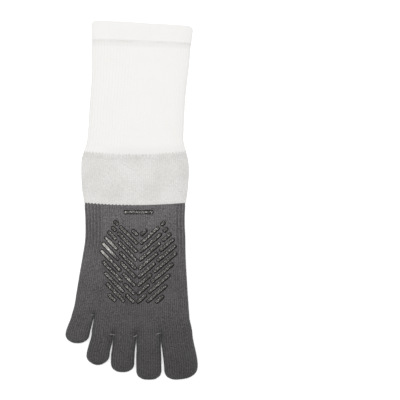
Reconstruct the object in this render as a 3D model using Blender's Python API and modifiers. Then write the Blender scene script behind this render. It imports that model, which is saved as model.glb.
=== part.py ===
"""A five-toe sock for a left foot, laid flat with its sole up.

The cuff points along +Y, the toes along -Y, and the sock rests on z = 0. It is a row of knitted tubes,
flat below, folded at both sides and slightly full above. Each toe has a pocket of its own, and the sole
carries a herringbone of raised grip strips.
"""

from collections import namedtuple
from itertools import pairwise

import bmesh
import bpy
import numpy as np

MM = 0.001

# Knit and fit
WALL = 1.2 * MM
BAND_WALL = 1.8 * MM
WELT_WALL = 2.2 * MM
WELT_STEP = 0.5 * MM  # how far the doubled hem stands out from the leg
SEAM_GAP = 0.3 * MM  # between one knitted piece and the next, and under the grip strips
TOE_GAP = 1.2 * MM  # between neighbouring toes at their roots, which is the web's width
FOLD_RADIUS = 3.0 * MM
TOE_FOLD_RADIUS = 3.8 * MM
RIB_PITCH = 3.9 * MM
RIB_DEPTH = 0.3 * MM

# Lengths along the sock, from the cuff to the longest toe
WELT_LENGTH = 18.5 * MM
LEG_LENGTH = 110.0 * MM
BAND_LENGTH = 52.0 * MM
FOOT_LENGTH = 111.0 * MM  # from the heel band to the little toe's root
FORE_LENGTH = 19.5 * MM  # from the little toe's root to the other four
TOE_LENGTH = 45.5 * MM
CUFF_RISE = 3.0 * MM  # how far the cuff's left end stands above its middle, and its right end below
CUFF_RUN = 50.0 * MM  # over which the rows lean into that rise
CORNER_DROP = 3.0 * MM  # how far the cuff's rim falls at its two folds
FORE_SHIFT = 0.3 * MM  # how far the forefoot's middle moves to the right over its length
LOBE_RUN = 14.0 * MM  # over which the foot dips into the valleys between the toes

# Widths across the sock and heights of its crown
WELT_WIDTH = 102.0 * MM
LEG_WIDTH = 96.0 * MM
BAND_WIDTH = 107.4 * MM
FOOT_WIDTH = 117.5 * MM  # across the ball, at the little toe's root
FORE_WIDTH = 0.858 * FOOT_WIDTH  # across the roots of the other four
LEG_HEIGHT = 11.0 * MM
BAND_HEIGHT = 15.5 * MM
FOOT_HEIGHT = 12.0 * MM
TOE_HEIGHT = 10.5 * MM

# Grip print
GRIP_WIDTH = 3.2 * MM
GRIP_RISE = 0.8 * MM
GRIP_BAR_LENGTH = 30.0 * MM
GRIP_TOP = 0.28  # first arm of the herringbone, as a share of the foot's length below the band
GRIP_PITCH = 0.0755  # from one arm to the next, as a share of the foot's length
GRIP_REACH = 0.326  # half the herringbone's width, as a share of the ball's width
GRIP_SIDE_STEP = 0.034  # the spine's distance from the foot's middle, as a share of the ball's width
GRIP_SLOPE = 0.945  # rise of an arm for each step away from the spine
GRIP_BAR_TOP = 0.075  # the plain bar's place, as a share of the foot's length below the band
GRIP_CREST = 0.7  # width of a strip's top as a share of its foot

# Shape of the sections
CROWN_POWER = 3.0
CORNER_POWER = 10.0  # how closely the fall of the cuff's rim keeps to its folds
OUTLINE_STEPS = 181
TOE_CAP = 0.4  # length of a toe's rounded end as a share of its width
CAP_POWER = 2.4
LEAN_END = 0.75  # share of a toe's length at which it has its full lean
SWELL_END = 0.6  # share of a toe's length at which it has its full width

# Where the lengthwise lines of one toe run, from its left fold (-1) to its right fold (1)
UPPER_SPREAD = np.array((-0.96, -0.8, -0.42, 0.0, 0.42, 0.8, 0.96))
LOWER_SPREAD = np.array((-0.92, -0.66, -0.33, 0.0, 0.33, 0.66, 0.92))

# Lines round the tubes that have no ribs, and rows along each piece as shares of its length
WELT_LINES = 64
BAND_LINES = 64
WELT_ROWS = (0.0, 0.5, 0.9, 1.0)
LEG_ROWS = (0.0, 0.08, 0.25, 0.52, 0.8, 1.0)
BAND_ROWS = (0.0, 0.2, 0.42, 0.64, 0.82, 0.92, 1.0)
FOOT_ROWS = (1.0, 0.8, 0.56, 0.32, 0.12, 0.05, 0.0)
FORE_ROWS = (0.3, 0.58, 0.8, 1.0)
TOE_ROWS = (0.0, 0.3, 0.65, 1.0)
CAP_ROWS = (0.4, 0.7, 0.9, 0.98)

Section = namedtuple("Section", "along centre width height")

# Each table runs from the toes' end of its piece to its cuff end. A place along the piece is a share
# of its length, centre and width are shares of its width, and height is a share of its height.
FOOT_SECTIONS = (
    Section(0.00, -0.013, 1.000, 0.95),
    Section(0.08, -0.005, 0.973, 0.98),
    Section(0.19, 0.000, 0.948, 1.00),
    Section(0.35, 0.008, 0.914, 1.00),
    Section(0.51, 0.017, 0.880, 1.00),
    Section(0.68, 0.028, 0.853, 1.00),
    Section(0.84, 0.026, 0.846, 1.01),
    Section(1.00, 0.025, 0.863, 1.06),
)
BAND_SECTIONS = (
    Section(0.23, 0.027, 0.980, 0.95),
    Section(0.46, 0.028, 1.000, 1.00),
    Section(0.69, 0.028, 1.000, 0.92),
    Section(0.88, 0.025, 0.984, 0.73),
    Section(1.00, 0.026, 0.954, 0.68),
)
LEG_SECTIONS = (
    Section(0.07, 0.032, 1.017, 1.00),
    Section(0.20, 0.041, 0.995, 1.02),
    Section(0.40, 0.052, 0.994, 1.00),
    Section(0.62, 0.073, 0.994, 0.97),
    Section(0.84, 0.091, 1.020, 0.92),
)
WELT_SECTIONS = (
    Section(0.00, 0.096, 0.975, 0.90),
    Section(1.00, 0.103, 0.996, 0.86),
)

Toe = namedtuple("Toe", "name root length lean swell height slant")

# From the sock's left to its right. Root is a share of the ball's width, length of the longest toe's,
# lean is the tip's shift to the right as a share of the ball's width, swell widens the root, height is
# a share of the toes' height, and slant turns the rounded end.
TOES = (
    Toe("little_toe", 0.190, 0.628, -0.041, 0.15, 0.86, 0.00),
    Toe("fourth_toe", 0.172, 0.677, -0.034, 0.12, 0.92, 0.00),
    Toe("third_toe", 0.188, 0.835, -0.019, 0.08, 0.94, 0.00),
    Toe("second_toe", 0.196, 1.000, 0.002, 0.10, 0.97, 0.00),
    Toe("big_toe", 0.254, 0.990, 0.034, 0.09, 1.05, 0.10),
)

Strip = namedtuple("Strip", "column arm start end")

# The left half of the herringbone, which the right half mirrors. Arms are counted from the heel, and
# start and end are shares of the reach from the spine.
STRIPS = (
    Strip("inner", 0, 0.05, 0.18),
    Strip("inner", 1, 0.05, 0.50),
    Strip("inner", 2, 0.05, 0.56),
    Strip("inner", 3, 0.05, 0.54),
    Strip("inner", 4, 0.05, 0.49),
    Strip("inner", 5, 0.05, 0.44),
    Strip("inner", 6, 0.05, 0.37),
    Strip("inner", 7, 0.05, 0.32),
    Strip("inner", 8, 0.05, 0.26),
    Strip("outer", 1, 0.58, 0.63),
    Strip("outer", 2, 0.64, 0.70),
    Strip("outer", 3, 0.62, 0.80),
    Strip("outer", 4, 0.57, 0.88),
    Strip("outer", 5, 0.52, 0.94),
    Strip("outer", 6, 0.45, 0.97),
    Strip("outer", 7, 0.40, 0.90),
    Strip("outer", 8, 0.34, 0.83),
    Strip("outer", 9, 0.31, 0.77),
    Strip("outer", 10, 0.54, 0.70),
)

Station = namedtuple("Station", "along width")

# Plan of a strip from the spine outwards, with the outer end rounded
STRIP_STATIONS = (
    Station(0.00, 0.70),
    Station(0.10, 1.00),
    Station(0.50, 1.00),
    Station(0.90, 0.92),
    Station(1.00, 0.55),
)

Finish = namedtuple("Finish", "name colour roughness")

WHITE_KNIT = Finish("white_knit", (0.88, 0.87, 0.85), 0.95)
GREY_KNIT = Finish("grey_knit", (0.72, 0.71, 0.69), 0.95)
DARK_KNIT = Finish("dark_knit", (0.11, 0.105, 0.108), 0.95)
GRIP_SILICONE = Finish("grip_silicone", (0.035, 0.034, 0.035), 0.45)

# Places along the sock, from the longest toe's tip to the cuff
SOCK_LENGTH = (
    TOE_LENGTH + FORE_LENGTH + FOOT_LENGTH + BAND_LENGTH + LEG_LENGTH + WELT_LENGTH + CUFF_RISE
)
Y_TIP = -SOCK_LENGTH / 2
Y_TOES = Y_TIP + TOE_LENGTH
Y_LITTLE = Y_TOES + FORE_LENGTH
Y_FOOT = Y_LITTLE + FOOT_LENGTH
Y_BAND = Y_FOOT + BAND_LENGTH
Y_LEG = Y_BAND + LEG_LENGTH
Y_CUFF = Y_LEG + WELT_LENGTH

Tube = namedtuple("Tube", "start length width height sections")

TUBES = (
    Tube(Y_LITTLE, FOOT_LENGTH, FOOT_WIDTH, FOOT_HEIGHT, FOOT_SECTIONS),
    Tube(Y_FOOT, BAND_LENGTH, BAND_WIDTH, BAND_HEIGHT, BAND_SECTIONS),
    Tube(Y_BAND, LEG_LENGTH, LEG_WIDTH, LEG_HEIGHT, LEG_SECTIONS),
    Tube(Y_LEG, WELT_LENGTH, WELT_WIDTH, LEG_HEIGHT, WELT_SECTIONS),
)

Ring = namedtuple("Ring", "left upper right lower")


def tube_knots():
    """Rows of y, centre, half width and height of the whole tube, in metres."""
    rows = []
    for tube in TUBES:
        for section in tube.sections:
            y = tube.start + section.along * tube.length
            centre = section.centre * tube.width
            half_width = section.width * tube.width / 2
            rows.append((y, centre, half_width, section.height * tube.height))
    return np.array(rows)


def section_at(y):
    """Centre, half width and height of the tube at y, on smooth curves through its knots."""
    knots = tube_knots()
    places = knots[:, 0]
    values = knots[:, 1:]
    slopes = np.gradient(values, places, axis=0)
    i = int(np.clip(np.searchsorted(places, y) - 1, 0, len(places) - 2))
    step = places[i + 1] - places[i]
    s = (y - places[i]) / step
    eased = s * s * (3 - 2 * s)
    bend = s * (1 - s) * step
    return (
        values[i] * (1 - eased)
        + values[i + 1] * eased
        + bend * ((1 - s) * slopes[i] - s * slopes[i + 1])
    )


def ease(s):
    """A smooth step from 0 to 1."""
    s = np.clip(s, 0.0, 1.0)
    return s * s * (3 - 2 * s)


def crown(t, height, radius):
    """Height of the upper layer at t, from -1 at the left fold to 1 at the right fold."""
    return radius + (height - radius) * np.sqrt(np.maximum(1 - np.abs(t) ** CROWN_POWER, 0))


def underside(t, half_width, radius):
    """Height of the lower layer at t: flat on the ground, then round up into each fold."""
    reach = np.clip(1 - (1 - np.abs(t)) * half_width / radius, 0, 1)
    return radius * (1 - np.sqrt(1 - reach**2))


def tube_points(y, lines, step_out=0.0, rib_depth=0.0):
    """Points evenly spaced round the tube at y, every other one sunk by the ribs' depth."""
    centre, half_width, height = section_at(y)
    half_width = half_width + step_out
    height = height + step_out
    t = -np.cos(np.linspace(0, np.pi, OUTLINE_STEPS))
    upper = np.stack([t * half_width, crown(t, height, FOLD_RADIUS)], axis=1)
    lower = np.stack([t * half_width, underside(t, half_width, FOLD_RADIUS)], axis=1)
    path = np.concatenate([upper, lower[-2::-1]])
    walked = np.concatenate([[0], np.cumsum(np.linalg.norm(np.diff(path, axis=0), axis=1))])
    stops = np.linspace(0, walked[-1], lines, endpoint=False)
    x = np.interp(stops, walked, path[:, 0])
    z = np.interp(stops, walked, path[:, 1])
    ahead = np.stack([np.roll(x, -1) - np.roll(x, 1), np.roll(z, -1) - np.roll(z, 1)], axis=1)
    ahead /= np.linalg.norm(ahead, axis=1, keepdims=True)
    sunk = rib_depth * (np.arange(lines) % 2)
    x = x + sunk * ahead[:, 1]
    z = z - sunk * ahead[:, 0]
    return centre + x, cuff_lean(y, x / half_width), z


def cuff_lean(y, t):
    """The y of a row's points, leaning up to the left near the cuff, with the rim rounded at the folds."""
    lean = CUFF_RISE * np.clip((y - Y_CUFF) / CUFF_RUN + 1, 0, 1)
    corner = CORNER_DROP * ease((y - Y_LEG) / WELT_LENGTH)
    return y - lean * t - corner * np.abs(t) ** CORNER_POWER


def join_rings(bm, toeward, cuffward):
    """Faces between two closed rings, with their fronts outwards."""
    for i in range(len(toeward)):
        j = (i + 1) % len(toeward)
        bm.faces.new((toeward[i], toeward[j], cuffward[j], cuffward[i]))


def build_tube(start, length, rows, lines, step_out=0.0, rib_depth=0.0):
    """An open tube from its toeward end at start, with a ring of vertices at each row."""
    bm = bmesh.new()
    rings = []
    for along in rows:
        x, y, z = tube_points(start + along * length, lines, step_out, rib_depth)
        rings.append([bm.verts.new(point) for point in zip(x, y, z)])
    for toeward, cuffward in pairwise(rings):
        join_rings(bm, toeward, cuffward)
    return bm


def toe_edges(toes, left, right):
    """Left and right edges of neighbouring toes that share the width between left and right."""
    roots = np.cumsum([0.0] + [toe.root for toe in toes])
    edges = left + (right - left) * roots / roots[-1]
    starts = edges[:-1] + TOE_GAP / 2
    ends = edges[1:] - TOE_GAP / 2
    starts[0] = left
    ends[-1] = right
    return starts, ends


def sinking(y, toes):
    """How far the foot has dipped to its toes at each edge between them, from 0 to 1."""
    little_root = ease(1 - (y - Y_LITTLE) / LOBE_RUN)
    other_roots = ease(1 - (y - Y_TOES) / LOBE_RUN)
    edges = [little_root, little_root] + [other_roots] * (len(TOES) - 1)
    return np.array(edges[len(TOES) - len(toes) :])


def toe_points(toes, left, right, height, sunk):
    """Points of the upper and lower layers, a row for each toe, and the heights of the two outer folds."""
    starts, ends = toe_edges(toes, left, right)
    middle = ((starts + ends) / 2)[:, None]
    half = ((ends - starts) / 2)[:, None]
    toe_height = TOE_HEIGHT * np.array([toe.height for toe in toes])[:, None]
    group_half = (right - left) / 2
    layers = []
    for spread in (UPPER_SPREAD, LOWER_SPREAD):
        x = middle + half * spread
        group_t = (x - left) / group_half - 1
        if spread is UPPER_SPREAD:
            own = crown(spread, toe_height, TOE_FOLD_RADIUS)
            shared = crown(group_t, height, FOLD_RADIUS)
        else:
            own = underside(spread, half, TOE_FOLD_RADIUS)
            shared = underside(group_t, group_half, FOLD_RADIUS)
        share = sunk[:-1, None] * (1 - spread) / 2 + sunk[1:, None] * (1 + spread) / 2
        layers.append((x, shared + (own - shared) * share))
    folds = FOLD_RADIUS + (TOE_FOLD_RADIUS - FOLD_RADIUS) * sunk[[0, -1]]
    return layers[0], layers[1], folds


def foot_edges(y):
    """Left and right edges of the foot at y, before the little toe's root."""
    centre, half_width, _ = section_at(y)
    return centre - half_width, centre + half_width


def fore_edges(y):
    """Left and right edges of the forefoot at y, between the little toe's root and the others."""
    left, right = foot_edges(Y_LITTLE)
    starts, _ = toe_edges(TOES, left, right)
    start = starts[1]
    middle = (start + right) / 2 + FORE_SHIFT
    share = ease((Y_LITTLE - y) / FORE_LENGTH)
    return (
        start + (middle - FORE_WIDTH / 2 - start) * share,
        right + (middle + FORE_WIDTH / 2 - right) * share,
    )


def add_ring(bm, y, toes, left, right, height, sunk):
    """A ring of vertices round neighbouring toes at y."""
    upper, lower, folds = toe_points(toes, left, right, height, sunk)
    rows = []
    for x, z in (upper, lower):
        rows.append([[bm.verts.new((px, y, pz)) for px, pz in zip(*toe)] for toe in zip(x, z)])
    return Ring(
        bm.verts.new((left, y, folds[0])), rows[0], bm.verts.new((right, y, folds[1])), rows[1]
    )


def around(ring):
    """The ring's vertices in order, over the top from left to right and back below."""
    upper = [vertex for toe in ring.upper for vertex in toe]
    lower = [vertex for toe in ring.lower for vertex in toe]
    return [ring.left, *upper, ring.right, *reversed(lower)]


def add_web(bm, ring, index):
    """The web after the toe at index, and the ring of what lies to its right."""
    near_top = ring.upper[index][-1]
    near_low = ring.lower[index][-1]
    far_top = ring.upper[index + 1][0]
    far_low = ring.lower[index + 1][0]
    middle = (near_top.co.x + far_top.co.x) / 2
    near = bm.verts.new((middle - TOE_GAP / 2, near_top.co.y, TOE_FOLD_RADIUS))
    far = bm.verts.new((middle + TOE_GAP / 2, near_top.co.y, TOE_FOLD_RADIUS))
    bm.faces.new((near, far, far_top, near_top))
    bm.faces.new((near_low, far_low, far, near))
    return Ring(far, ring.upper[index + 1 :], ring.right, ring.lower[index + 1 :])


def build_foot():
    """The foot from the heel band to the webs between its toes."""
    bm = bmesh.new()
    cuffward = None
    for along in FOOT_ROWS:
        y = Y_LITTLE + along * (FOOT_LENGTH - SEAM_GAP)
        ring = add_ring(bm, y, TOES, *foot_edges(y), section_at(y)[2], sinking(y, TOES))
        if cuffward:
            join_rings(bm, around(ring), around(cuffward))
        cuffward = ring
    cuffward = add_web(bm, cuffward, 0)
    height = section_at(Y_LITTLE)[2]
    for along in FORE_ROWS:
        y = Y_LITTLE - along * FORE_LENGTH
        toes = TOES[1:]
        ring = add_ring(bm, y, toes, *fore_edges(y), height, sinking(y, toes))
        join_rings(bm, around(ring), around(cuffward))
        cuffward = ring
    for index in range(len(TOES) - 2):
        add_web(bm, cuffward, index)
    return bm


def toe_root(index):
    """Left and right edges and y of the root of the toe at index."""
    if index == 0:
        starts, ends = toe_edges(TOES, *foot_edges(Y_LITTLE))
        return starts[0], ends[0], Y_LITTLE
    starts, ends = toe_edges(TOES[1:], *fore_edges(Y_TOES))
    return starts[index - 1], ends[index - 1], Y_TOES


def add_toe_ring(bm, toe, root, place, scale):
    """A ring of vertices round one toe, at a distance from its root, drawn in by a scale near its tip."""
    left, right, y_root = root
    length = toe.length * TOE_LENGTH
    along = place / length
    swell = 1 + toe.swell * (1 - (1 - min(along / SWELL_END, 1)) ** 2)
    middle = (left + right) / 2 + toe.lean * FOOT_WIDTH * ease(along / LEAN_END)
    half = (right - left) / 2 * swell
    upper, lower, _ = toe_points((toe,), middle - half, middle + half, TOE_HEIGHT, np.ones(2))
    turn = toe.slant * ease(along)

    def vertex(x, z):
        x = middle + (x - middle) * scale
        z = TOE_FOLD_RADIUS + (z - TOE_FOLD_RADIUS) * scale
        return bm.verts.new((x, y_root - place + turn * (x - middle), z))

    rows = [[[vertex(x, z) for x, z in zip(xs[0], zs[0])]] for xs, zs in (upper, lower)]
    fold = TOE_FOLD_RADIUS
    return Ring(vertex(middle - half, fold), rows[0], vertex(middle + half, fold), rows[1])


def build_toe(index):
    """One toe's pocket, from its root to its rounded and closed tip."""
    toe = TOES[index]
    root = toe_root(index)
    length = toe.length * TOE_LENGTH
    cap = TOE_CAP * (root[1] - root[0]) * (1 + toe.swell)
    straight = length - cap
    bm = bmesh.new()
    places = [(SEAM_GAP + share * (straight - SEAM_GAP), 1.0) for share in TOE_ROWS]
    places += [(straight + q * cap, (1 - q**CAP_POWER) ** (1 / CAP_POWER)) for q in CAP_ROWS]
    rings = [around(add_toe_ring(bm, toe, root, place, scale)) for place, scale in places]
    for cuffward, toeward in pairwise(rings):
        join_rings(bm, toeward, cuffward)
    middle_x, _, middle_z = np.mean([vertex.co for vertex in rings[-1]], axis=0)
    tip = bm.verts.new((middle_x, root[2] - length, middle_z))
    for i, vertex in enumerate(rings[-1]):
        bm.faces.new((vertex, tip, rings[-1][(i + 1) % len(rings[-1])]))
    return bm


def sole_height(x, y):
    """Height of the foot's upper layer, which is the sole, over the ground at x and y."""
    centre, half_width, height = section_at(y)
    return crown((x - centre) / half_width, height, FOLD_RADIUS)


def build_strip(start, end):
    """A raised strip that lies on the sole from start to end, both x and y."""
    bm = bmesh.new()
    start = np.array(start)
    end = np.array(end)
    ahead = (end - start) / np.linalg.norm(end - start)
    across = np.array((-ahead[1], ahead[0]))
    rings = []
    for station in STRIP_STATIONS:
        middle = start + (end - start) * station.along
        side = across * station.width * GRIP_WIDTH / 2
        ring = []
        for share, rise in ((1, 0), (GRIP_CREST, GRIP_RISE), (-GRIP_CREST, GRIP_RISE), (-1, 0)):
            x, y = middle + side * share
            ring.append(bm.verts.new((x, y, sole_height(x, y) + SEAM_GAP + rise)))
        rings.append(ring)
    for first, second in pairwise(rings):
        join_rings(bm, second, first)
    bm.faces.new(rings[0])
    bm.faces.new(reversed(rings[-1]))
    bmesh.ops.recalc_face_normals(bm, faces=bm.faces)
    return bm


def strip_end(arm, share, side):
    """Place on an arm of the herringbone, at a share of its reach to the left (-1) or right (1)."""
    distance = share * GRIP_REACH * FOOT_WIDTH
    y = Y_FOOT - (GRIP_TOP + arm * GRIP_PITCH) * FOOT_LENGTH + distance * GRIP_SLOPE
    return spine_x(y) + side * distance, y


def spine_x(y):
    """Where the herringbone's spine lies at y."""
    return section_at(y)[0] + GRIP_SIDE_STEP * FOOT_WIDTH


def make_material(finish):
    """A Principled material for a finish."""
    material = bpy.data.materials.new(finish.name)
    material.use_nodes = True
    shader = material.node_tree.nodes["Principled BSDF"]
    shader.inputs["Base Color"].default_value = (*finish.colour, 1.0)
    shader.inputs["Roughness"].default_value = finish.roughness
    shader.inputs["Metallic"].default_value = 0.0
    return material


def add_piece(collection, name, bm, material, wall=None):
    """An object from a mesh, given a wall on its inner side if it is knitted."""
    mesh = bpy.data.meshes.new(name)
    bm.to_mesh(mesh)
    bm.free()
    mesh.materials.append(material)
    piece = bpy.data.objects.new(name, mesh)
    collection.objects.link(piece)
    if wall:
        solidify = piece.modifiers.new("Knit wall", "SOLIDIFY")
        solidify.thickness = wall
        solidify.offset = -1.0
        solidify.use_even_offset = True
        mesh.shade_smooth()
    return piece


def rib_lines():
    """Lines round the leg, one on each rib and one in each groove."""
    _, half_width, height = section_at(Y_BAND + LEG_LENGTH / 2)
    return 2 * round((2 * half_width + height) * 2 / RIB_PITCH)


def build_sock():
    """The whole sock, a piece at a time from the cuff to the toes and then its grip."""
    collection = bpy.data.collections.new("toe_sock")
    bpy.context.scene.collection.children.link(collection)
    white = make_material(WHITE_KNIT)
    grey = make_material(GREY_KNIT)
    dark = make_material(DARK_KNIT)
    silicone = make_material(GRIP_SILICONE)

    welt = build_tube(Y_LEG, WELT_LENGTH, WELT_ROWS, WELT_LINES, step_out=WELT_STEP)
    add_piece(collection, "cuff_welt", welt, white, WELT_WALL)
    leg = build_tube(Y_BAND, LEG_LENGTH - SEAM_GAP, LEG_ROWS, rib_lines(), rib_depth=RIB_DEPTH)
    add_piece(collection, "leg", leg, white, WALL)
    band = build_tube(Y_FOOT, BAND_LENGTH - SEAM_GAP, BAND_ROWS, BAND_LINES)
    add_piece(collection, "heel_band", band, grey, BAND_WALL)
    add_piece(collection, "foot", build_foot(), dark, WALL)
    for index, toe in enumerate(TOES):
        add_piece(collection, toe.name, build_toe(index), dark, WALL)

    for strip in STRIPS:
        for side, side_name in ((-1, "left"), (1, "right")):
            start = strip_end(strip.arm, strip.start, side)
            end = strip_end(strip.arm, strip.end, side)
            name = f"grip_{side_name}_{strip.column}_{strip.arm}"
            add_piece(collection, name, build_strip(start, end), silicone)
    bar_y = Y_FOOT - GRIP_BAR_TOP * FOOT_LENGTH
    bar_x = spine_x(bar_y)
    bar = build_strip((bar_x - GRIP_BAR_LENGTH / 2, bar_y), (bar_x + GRIP_BAR_LENGTH / 2, bar_y))
    add_piece(collection, "grip_top_bar", bar, silicone)


for leftover in list(bpy.data.objects):
    bpy.data.objects.remove(leftover, do_unlink=True)
build_sock()
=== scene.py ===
"""A knitted five-toe sock, dressed for its portrait: a left sock lying flat with its sole up.

Every knitted surface is worked out as a grid of points: rows run along the sock (y), and columns run
round it, over the upper layer from the left fold to the right fold and back beneath. Columns follow the
wales of the knit, so the stitches, ribs and heather are drawn from a UV map named "knit", whose u counts
wales and whose v counts courses.
"""

import logging
from dataclasses import dataclass, field
from enum import Enum
from functools import reduce

import bpy
import numpy as np
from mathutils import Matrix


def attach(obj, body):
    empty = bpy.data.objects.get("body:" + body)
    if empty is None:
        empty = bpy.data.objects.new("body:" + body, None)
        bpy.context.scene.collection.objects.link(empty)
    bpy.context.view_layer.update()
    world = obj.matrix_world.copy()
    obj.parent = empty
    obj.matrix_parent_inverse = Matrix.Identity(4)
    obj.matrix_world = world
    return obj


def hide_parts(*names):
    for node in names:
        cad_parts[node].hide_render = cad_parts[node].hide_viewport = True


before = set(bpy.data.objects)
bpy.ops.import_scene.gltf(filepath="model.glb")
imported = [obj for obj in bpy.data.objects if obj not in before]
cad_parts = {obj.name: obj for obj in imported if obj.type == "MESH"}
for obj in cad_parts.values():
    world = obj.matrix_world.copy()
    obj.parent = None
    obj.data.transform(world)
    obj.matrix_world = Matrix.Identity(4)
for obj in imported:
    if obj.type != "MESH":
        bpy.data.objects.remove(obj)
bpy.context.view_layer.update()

log = logging.getLogger("toe_sock")

Array = np.ndarray
Object = bpy.types.Object
Material = bpy.types.Material
Colour = tuple[float, float, float]
Table = tuple[tuple[float, ...], ...]
Socket = bpy.types.NodeSocket
Value = Socket | float | tuple[float, ...]
Pair = tuple[float, float]
Vector = tuple[float, float, float]
Sides = tuple[Array, Array, Array]  # left edges, right edges and crown heights

MM = 0.001
BODY = "root"
KNIT_MAP = "knit"
GROOVE = "groove"
WALE = 2.05 * MM  # from one column of stitches to the next
COURSE = 1.4 * MM  # from one row of stitches to the next
FOLD_WALES = 0.6  # wales between a fold and the column next to it
GOLDEN_ANGLE = 2.39996


class Slot(Enum):
    """The material slots."""

    WHITE = "white_knit"
    GREY = "grey_knit"
    DARK = "dark_knit"
    SILICONE = "grip_silicone"


class Side(Enum):
    """A half of the grip print, by the sign of x from its spine."""

    LEFT = -1
    RIGHT = 1


class Column(Enum):
    """A column of the grip print's herringbone on either half."""

    INNER = "inner"
    OUTER = "outer"


def srgb(red: float, green: float, blue: float) -> Colour:
    """A linear colour from 8-bit display values.

    Formula: each channel over 255, raised by the display's curve.

    Args:
        red: red, from 0 to 255.
        green: green, from 0 to 255.
        blue: blue, from 0 to 255.

    Returns:
        The linear colour.
    """
    shown = np.array((red, green, blue)) / 255
    linear = np.where(shown <= 0.04045, shown / 12.92, ((shown + 0.055) / 1.055) ** 2.4)
    return tuple(float(channel) for channel in linear)


def ease(share: Array) -> Array:
    """A smooth step from 0 to 1: 3s^2 - 2s^3 of the share, held to its range."""
    share = np.clip(share, 0.0, 1.0)
    return share * share * (3 - 2 * share)


def rising(value: Array, start: float, run: float) -> Array:
    """A smooth step from 0 to 1 over a run that begins at start; below zero, the run goes downwards."""
    return ease((value - start) / run)


def bump_at(value: Array, middle: float, width: float) -> Array:
    """A bell of height 1 about a middle: exp(-(distance / width)^2)."""
    return np.exp(-(((value - middle) / width) ** 2))


def vertex_normals(points: Array, quads: Array) -> Array:
    """Outward unit normals of a mesh of quads.

    Formula: the cross product of each face's diagonals, summed at its four corners and made unit length.

    Args:
        points: the points, one row each.
        quads: four point numbers for each face.

    Returns:
        One unit normal for each point.
    """
    corners = points[quads]
    faces = np.cross(corners[:, 2] - corners[:, 0], corners[:, 3] - corners[:, 1])
    normals = np.zeros_like(points)
    for axis in range(3):
        spread = np.repeat(faces[:, axis], 4)
        normals[:, axis] = np.bincount(quads.ravel(), spread, len(points))
    return normals / np.maximum(np.linalg.norm(normals, axis=1, keepdims=True), 1e-12)


def drift(points: Array, pitch: float) -> Array:
    """Slow, even unevenness of soft cloth, from -1 to 1.

    Formula: the mean of five sine waves across the plan, each turned and shifted by a golden-angle step.

    Args:
        points: the points, one row each.
        pitch: the wave length, in metres.

    Returns:
        One value for each point.
    """
    steps = np.arange(1, 6)
    turn = steps * GOLDEN_ANGLE
    shift = steps**2 * 1.7
    grown = 2 * np.pi * (0.8 + 0.13 * steps) / pitch
    along = points[:, :1] * np.cos(turn) + points[:, 1:2] * np.sin(turn)
    return np.sin(along * grown + shift).mean(axis=1)


def undulation(points: Array) -> Array:
    """The slow waves that all pieces share, so that they still meet: 0.25 mm of drift at 42 mm."""
    return 0.25 * MM * drift(points, 42 * MM)


def settle(points: Array) -> Array:
    """Keeps points on or above the ground."""
    return np.column_stack([points[:, :2], np.maximum(points[:, 2], 0.0)])


def stitch_count(y: Array, columns: int, wales: float) -> Array:
    """Wales and courses of rows at y whose columns, the closing one too, share the wales evenly."""
    return np.stack(np.meshgrid(np.linspace(0, wales, columns), -y / COURSE), axis=-1)


@dataclass(frozen=True)
class Tube:
    """A stretch of the sock and its table of sections, as shares of its own length, width and height."""

    start: float
    length: float
    width: float
    height: float
    sections: Table

    def knots(self) -> Array:
        """Rows of y, centre, half width and height."""
        scale = np.array((self.length, self.width, self.width / 2, self.height))
        return np.array(self.sections) * scale + np.array((self.start, 0.0, 0.0, 0.0))


@dataclass(frozen=True)
class Toe:
    """One toe's pocket, in shares where no unit is named."""

    name: str
    root: float  # width at its root, of the ball's width
    length: float  # of the longest toe's
    lean: float  # the tip's shift to the right, of the ball's width
    swell: float  # what it gains over its root's width
    height: float  # of the toes' height
    slant: float  # how much its rows slant at the tip, as a slope
    closed_run: float  # how far from its root it still touches its right neighbour, in metres
    cap_power: float  # how square its rounded end is


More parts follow.
